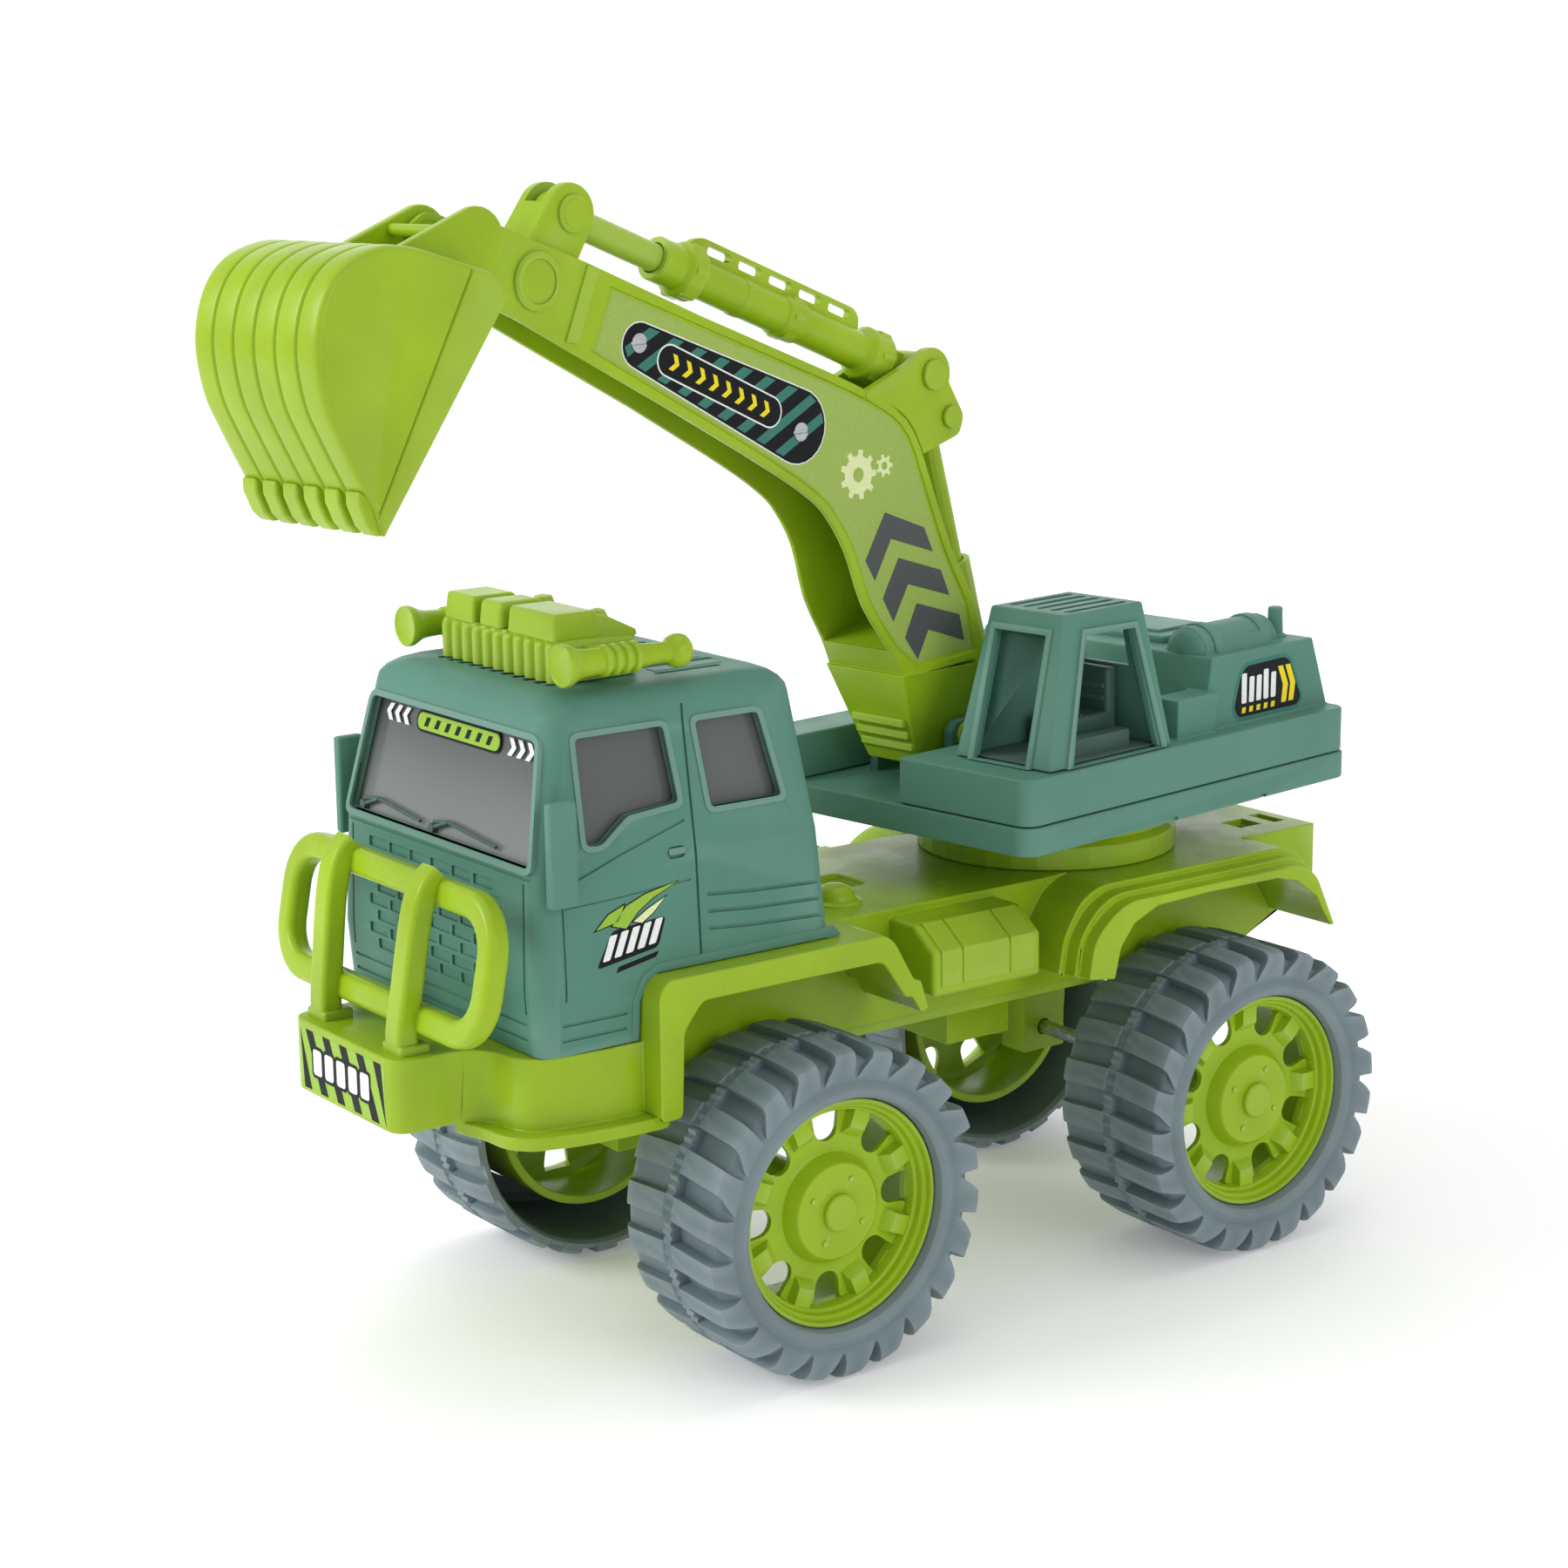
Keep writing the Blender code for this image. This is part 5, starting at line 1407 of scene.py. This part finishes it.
def windscreen_trim():
    """Plain banner across the top of the windscreen with chevrons beside it, and two wipers."""
    screen_film("banner_edge", rounded_rectangle((-23.6, 23.6), (186.9, 193.2), 2.9, 6), BLACK_INK, 0.08)
    screen_film("banner", rounded_rectangle((-22.9, 22.9), (187.6, 192.5), 2.4, 6), LIME_INK, 0.14)
    for number in range(7):
        x = -17.4 + number * 5.8
        screen_film(f"banner_mark_{number}", [(x - 1.7, 188.7), (x + 0.5, 188.7), (x + 1.7, 191.4),
                (x - 0.5, 191.4)], BLACK_INK, 0.2)
    for side, name in SIDES:
        for number in range(3):
            x = 27.6 + number * 4.8
            arrow = [(x, 192.6), (x + 2.2, 192.6), (x + 4.2, 190.1), (x + 2.2, 187.6), (x, 187.6),
                     (x + 2.0, 190.1)]
            screen_film(f"screen_chevron_{number}_{name}", [(side * px, pz) for px, pz in arrow], WHITE_INK,
                        0.14)
    for x, reach, name in ((-46.5, 34, "right"), (-6, 36, "left")):
        start, elbow, end = (x, 161.3), (x + 9, 164.4), (x + reach, 162.1)
        arm = swept_line([on_screen(*start, 0.6), on_screen(*elbow, 1.1)], 0.65)
        blade = swept_line([on_screen(x + 1, 163.4, 0.9), on_screen(*elbow, 1.0), on_screen(*end, 0.9)],
                           0.55)
        boss = swept_line([on_screen(*start, -0.4), on_screen(*start, 1.3)], 1.5)
        hang(joined(arm, blade, boss), f"wiper_{name}", "chassis", TRUCK, DARK_TEAL)


def door_film(name, side, outline, material, lift):
    hang(skin(on_side(side), outline, -0.1, lift), name, "chassis", TRUCK, material)


def door_stickers():
    """A plain swoosh of three blades over a row of slanted blocks on each door."""
    blades = (((-65.8, 140.8), (-61.6, 144.6), (-56.2, 146.6), (-58.2, 142.2)),
              ((-60.4, 141.2), (-55.4, 146.2), (-49, 148.6), (-38.0, 150.6), (-46.4, 147.2), (-51.6, 144.0),
               (-55.8, 139.8)),
              ((-53.2, 141.4), (-48.4, 144.2), (-42.2, 146.8), (-46.4, 143.0), (-50.4, 140.6)))
    for side, label in SIDES:
        for number, outline in enumerate(blades):
            door_film(f"swoosh_edge_{number}_{label}", side, inset_loop(outline, -0.35), BLACK_INK, 0.07)
            door_film(f"swoosh_{number}_{label}", side, outline, LIME_INK if number != 2 else PALE_INK,
                      0.14)
        back = [(-66.2, 129.6), (-45.2, 132.8), (-42.2, 141.4), (-60.4, 139.8)]
        door_film(f"swoosh_back_{label}", side, softened(back, 1.6), BLACK_INK, 0.09)
        for number in range(5):
            y = -64.2 + number * 3.9
            low = 131.4 + number * 0.6
            block = [(y, low), (y + 2.5, low + 0.3), (y + 5.4, low + 7.4), (y + 2.9, low + 7.1)]
            door_film(f"swoosh_block_{number}_{label}", side, softened(block, 0.5), WHITE_INK, 0.2)
        under = [(-59.8, 127.6), (-46.2, 130.0), (-45.0, 131.6), (-58.8, 129.2)]
        door_film(f"swoosh_under_{label}", side, under, BLACK_INK, 0.09)


cab()
roof_details()
light_bar()
horns()
mirrors()
windscreen_trim()
door_stickers()


# ---------------------------------------------------------------- chassis

BUMPER_FRONT = -117.0
TURNTABLE = tuple(TO_TRUCK @ Vector(JOINTS["turret_swing"]["pos_m"]))[:2]
LEAN = 7 / 36                # how far the bull bar leans back for each step upwards
CAB_FLOOR = 105.7
FENDER_TOP = 124.6
FENDER_OUTER = 66.0
DECK_TOP = 123.5
DECK_HALF = 38.0
DECK_REAR = 238.0


def swept(points, section, closed=False):
    """Sweep a section, drawn as (across, along) pairs, over a path in the bull bar's leaning plane."""
    path = [Vector(point) for point in points]
    count = len(path)
    rings = []
    for i, point in enumerate(path):
        before = path[i - 1] if closed or i > 0 else point
        after = path[(i + 1) % count] if closed or i < count - 1 else point
        forward = (after - before).normalized()
        out = Vector((0, -1, LEAN)).normalized()
        out = (out - forward * out.dot(forward)).normalized()
        across = forward.cross(out)
        turn = 1.0
        if before != point and after != point:
            turn = (point - before).normalized().dot((after - point).normalized())
        stretch = 1 / sqrt(max((1 + turn) / 2, 0.5))
        rings.append([point + across * a * stretch + out * b for a, b in section])
    return loft(rings, closed)


def bull_bar():
    """Thick rounded bar in a closed ring with two posts that bend back over its top."""
    section = rounded_rectangle((-4.1, 4.1), (-3.6, 3.6), 2.4, 5)
    ring = []
    for x, z in rounded_rectangle((-56.5, 56.5), (115, 151), 13, 9):
        ring.append((x, -104 + (z - 115) * LEAN, z))
    bar = swept(ring, section, closed=True)
    pieces = [bar]
    for side in (-1, 1):
        path = spline([(side * 22.3, -108.6, 105.8), (side * 22.3, -108.6, 112), (side * 23.2, -106.8, 125),
                       (side * 24, -105, 138),
                       (side * 24.4, -103.2, 147), (side * 24.6, -101, 152.5), (side * 24.6, -97.6,
                               155.6)], 4)
        post = swept(path, rounded_rectangle((-4.3, 4.3), (-2.6, 4.4), 1.6, 4))
        pieces.append(post)
        foot = rounded(box(beside(side, 16.8, 27.8), (-113.2, -103.4), (105.0, 108.4)), 1.0, 3)
        pieces.append(foot)
    hang(joined(*pieces), "rounded_bull_bar", "chassis", TRUCK, LIME, ["bull_bar"])


def front_mudguard(side):
    """An arch over the front wheel: a tall leg in front, a sloping hooked tail behind."""
    outline = [(-51, 83.5), (-51, 121), (-48, 125), (30, 125), (33.5, 122.5), (41, 109.5), (43.5, 109),
               (46.5, 99.5),
               (43.5, 98.5), (40, 104.5), (37.5, 104.5), (29, 117), (-36, 117), (-42.5, 109), (-43.5, 83.5)]
    return prism("x", softened(outline, 2.2, 3), *beside(side, 36, FENDER_OUTER))


def rear_mudguard(side):
    """A stepped arch over the rear wheel, whose bands get lower towards the outside."""
    inner = [(217, 97), (213.5, 102), (210, 108), (201, 114.6), (192, 117), (163, 117.2), (139, 116.4),
             (129, 112.3),
             (123.5, 105.5), (121, 95.5)]
    bands = []
    for reach, drop in ((56.5, -0.5), (61.8, 1.5), (FENDER_OUTER + 1, 3.2)):
        outer = [(107 + drop, 97), (109 + drop, 109), (116 + drop, 119 - drop), (124 + drop, 123 - drop),
                 (205 - drop, 123 - drop),
                 (213 - drop, 119 - drop), (222 - drop, 97)]
        outline = [outer[0], *softened(outer, 6.5, 4)[5:-5], outer[-1], *inner]
        bands.append(prism("x", outline, *beside(side, 36, reach)))
    return bands


def side_box(side):
    """Locker between the wheels, with a sloping upper edge."""
    outline = [(side * 36, 121), (side * 50, 121), (side * 60, 114), (side * 60, 100), (side * 36, 100)]
    return rounded(prism("y", outline, 53, 96), 1.6, 4, 20)


def chassis():
    """Deck, bumper, mudguards and side boxes in one tub that is open underneath, with its seams and boss."""
    spine = [(-60, 86), (-60, CAB_FLOOR - 0.4), (-50, CAB_FLOOR - 0.4), (-50, FENDER_TOP), (24, FENDER_TOP),
             (26, DECK_TOP),
             (DECK_REAR, DECK_TOP), (DECK_REAR, 104), (205, 88), (-40, 88), (-40, 86)]
    shell = prism("x", spine, -DECK_HALF, DECK_HALF)
    bumper = mirrored([(26, BUMPER_FRONT), (29.5, -115.5), (31, -112), (31, -99), (33, -93), (38, -89.5),
                       (48, -88), (52.5, -85),
                       (55, -76), (57, -62), (57, -44.5)])
    lip = mirrored([(30, -97), (40, -94), (50, -94), (57, -89), (61, -76), (63, -60), (63, -44)])
    add(shell, prism("z", softened(bumper, 2.5, 3), 84, CAB_FLOOR),
        prism("z", softened(lip, 5, 3), 80.5, 84.4))
    for side in (-1, 1):
        add(shell, front_mudguard(side), *rear_mudguard(side), side_box(side))
    cut(shell, box((-35.5, 35.5), (-47, 235.5), (70, 121)))
    cut(shell, box((-28, 28), (-112, -46), (70, 103)))
    cut(shell, rod(11.4, "z", TURNTABLE, 100, 140, 48))
    for side in (-1, 1):
        cut(shell, box(beside(side, 18, 27), (214, 223), (110, 140)))
        cut(shell, box(beside(side, 16, 28), (229, 233), (110, 140)))
    cut(shell, prism("z", rounded_rectangle((-8, 8), (56, 68), 2, 4), DECK_TOP - 1.4, DECK_TOP + 2))
    rounded(shell, 0.6, 3, 38)
    trims = [turned([(0, 123), (8.4, 123), (8.4, 124.1), (7.6, 124.6), (6.5, 124.9), (6.2, 126.2),
                     (5.0, 127.9), (2.9, 129.0), (0, 129.4)],
                    "z", (20, 46), 48)]
    for side in (-1, 1):
        lid = [(side * 49.4, 121.0), (side * 50.6, 121.2), (side * 60.3, 114.3), (side * 60.4, 112.8),
               (side * 60.4, 103), (side * 59.4, 103),
               (side * 59.4, 113.4), (side * 49.8, 120.2)]
        for low, high in ((56.0, 63.8), (64.6, 82.6), (83.4, 92.8)):
            trims.append(rounded(prism("y", lid, low, high), 0.25, 2))
    trims.append(rounded(prism("y", [(-9, 105.5), (9, 105.5), (7, 113), (-7, 113)], 237.4, 238.6), 0.3, 2))
    hang(joined(shell, *trims), "softened_chassis", "chassis", TRUCK, LIME, ["chassis_shell"], 30)


def bumper_film(name, outline, material, lift):
    film = prism("y", outline, BUMPER_FRONT - lift, BUMPER_FRONT + 0.3)
    hang(film, name, "chassis", TRUCK, material)


def bumper_stickers():
    """Slanted black bars on a lime plate, with a plain row of white blocks across them."""
    low, high, half = 85.4, 103.4, 24.8
    bumper_film("bumper_plate", [(-half, low), (half, low), (half, high), (-half, high)], LIME_INK, 0.04)
    for number in range(6):
        x = -31.5 + number * 10
        bar = [(x, high), (x + 4.4, high), (x + 12.6, low), (x + 8.2, low)]
        bar = [(min(max(px, -half), half), pz) for px, pz in bar]
        if max(px for px, pz in bar) - min(px for px, pz in bar) > 1:
            bumper_film(f"bumper_bar_{number}", bar, BLACK_INK, 0.08)
    for number in range(5):
        x = -14.8 + number * 7.0
        for name, more, corner, ink, lift in (("block_edge", 1.0, 1.6, BLACK_INK, 0.12),
                ("block", 0.0, 1.2, WHITE_INK, 0.16)):
            left, right, bottom, top = x - 2.5 - more, x + 2.5 + more, 90.6 - more, 98.4 + more
            block = [(left, bottom), (right, bottom), (right, top), (left, top)]
            bumper_film(f"bumper_{name}_{number}", softened(block, corner), ink, lift)


bull_bar()
chassis()
bumper_stickers()


# ---------------------------------------------------------------- carried-over CAD nodes

PAINT = {"lime": LIME, "teal": TEAL, "seat": DARK_TEAL, "tyre": TYRE, "pane": PANE, "steel": STEEL}


def paint_nodes():
    """Give every CAD node the material of its slot, and soften the edges of those that show."""
    for part in frame["record"]["subparts"]:
        node = frame["nodes"][part["node"]]
        material = SCREEN if part["node"] == "windscreen" else PAINT[part["material_slot"]]
        node.data.materials.clear()
        node.data.materials.append(material)
        if node.hide_render:
            continue
        weld = node.modifiers.new("corners", "WELD")
        weld.merge_threshold = 0.00001
        edges = node.modifiers.new("edges", "BEVEL")
        edges.width = 0.00035
        edges.segments = 2
        edges.limit_method = "ANGLE"
        edges.angle_limit = radians(36)
        even = node.modifiers.new("even_normals", "WEIGHTED_NORMAL")
        even.keep_sharp = True


paint_nodes()


# ---------------------------------------------------------------- studio

AZIMUTH = 53.717             # degrees from the truck's front towards its left-hand side
ELEVATION = 12.468
ROLL = -0.0113
LENS = 72.5
CAMERA_PLACE = Vector((776.15, -528.13, 370.97))


def studio():
    """White floor, in metres, that curves up into a backdrop behind the truck."""
    floor_bm = bmesh.new()
    reach, rise, bend_start, bend = 6.0, 3.0, 1.4, 1.2
    profile = [(-reach, 0.0), (bend_start, 0.0)]
    for degrees_round in range(10, 91, 10):
        angle = radians(degrees_round)
        profile.append((bend_start + bend * sin(angle), bend - bend * cos(angle)))
    profile.append((bend_start + bend, rise))
    rows = []
    for along, height in profile:
        rows.append([floor_bm.verts.new((across, along, height)) for across in (-reach, reach)])
    for low, high in zip(rows, rows[1:]):
        floor_bm.faces.new((low[0], low[1], high[1], high[0]))
    floor = new_object("studio_floor", floor_bm)
    made = Shader("studio_white", 0.8)
    made.paint(made.ramp(made.noise(3, 2), 0.3, 0.7, (0.93, 0.93, 0.93), (0.95, 0.95, 0.95)))
    made.shader.inputs["Emission Color"].default_value = (1, 1, 1, 1)
    made.shader.inputs["Emission Strength"].default_value = 0.16
    floor.data.materials.append(made.material)
    smoothed(floor.data, 60)
    floor.rotation_euler = (0, 0, radians(AZIMUTH))


def camera():
    """Eye to the left of the truck's front, a little above it, without depth of field."""
    a, e = radians(AZIMUTH), radians(ELEVATION)
    back = Vector((sin(a) * cos(e), -cos(a) * cos(e), sin(e)))
    data = bpy.data.cameras.new("camera")
    data.sensor_width = 36
    data.lens = LENS
    data.clip_start = 0.05
    data.clip_end = 50
    eye = bpy.data.objects.new("camera", data)
    bpy.context.scene.collection.objects.link(eye)
    eye.location = TRUCK @ CAMERA_PLACE
    eye.rotation_mode = "QUATERNION"
    eye.rotation_quaternion = (-back).to_track_quat("-Z", "Y") @ Quaternion((0, 0, 1), ROLL)
    bpy.context.scene.camera = eye


def lamp(name, place, target, size, power):
    data = bpy.data.lights.new(name, "AREA")
    data.shape = "DISK"
    data.size = size
    data.energy = power
    light = bpy.data.objects.new(name, data)
    bpy.context.scene.collection.objects.link(light)
    light.location = place
    light.rotation_mode = "QUATERNION"
    light.rotation_quaternion = (Vector(target) - Vector(place)).to_track_quat("-Z", "Y")


def lights():
    """White surroundings and four soft disc lamps."""
    world = bpy.data.worlds.new("studio")
    world.use_nodes = True
    world.node_tree.nodes["Background"].inputs["Color"].default_value = (1, 1, 1, 1)
    world.node_tree.nodes["Background"].inputs["Strength"].default_value = 0.6
    bpy.context.scene.world = world
    bpy.context.scene.view_settings.view_transform = "Standard"
    middle = (0, 0, 0.12)
    lamp("key", (-0.7, -1.6, 1.1), middle, 1.1, 22)
    lamp("side", (1.9, 0.2, 0.8), middle, 1.2, 8)
    lamp("top", (0.0, 0.2, 2.2), middle, 1.4, 6)
    lamp("backdrop", (-0.7, 0.6, 1.9), (-1.9, 1.4, 0.9), 1.2, 14)


studio()
camera()
lights()
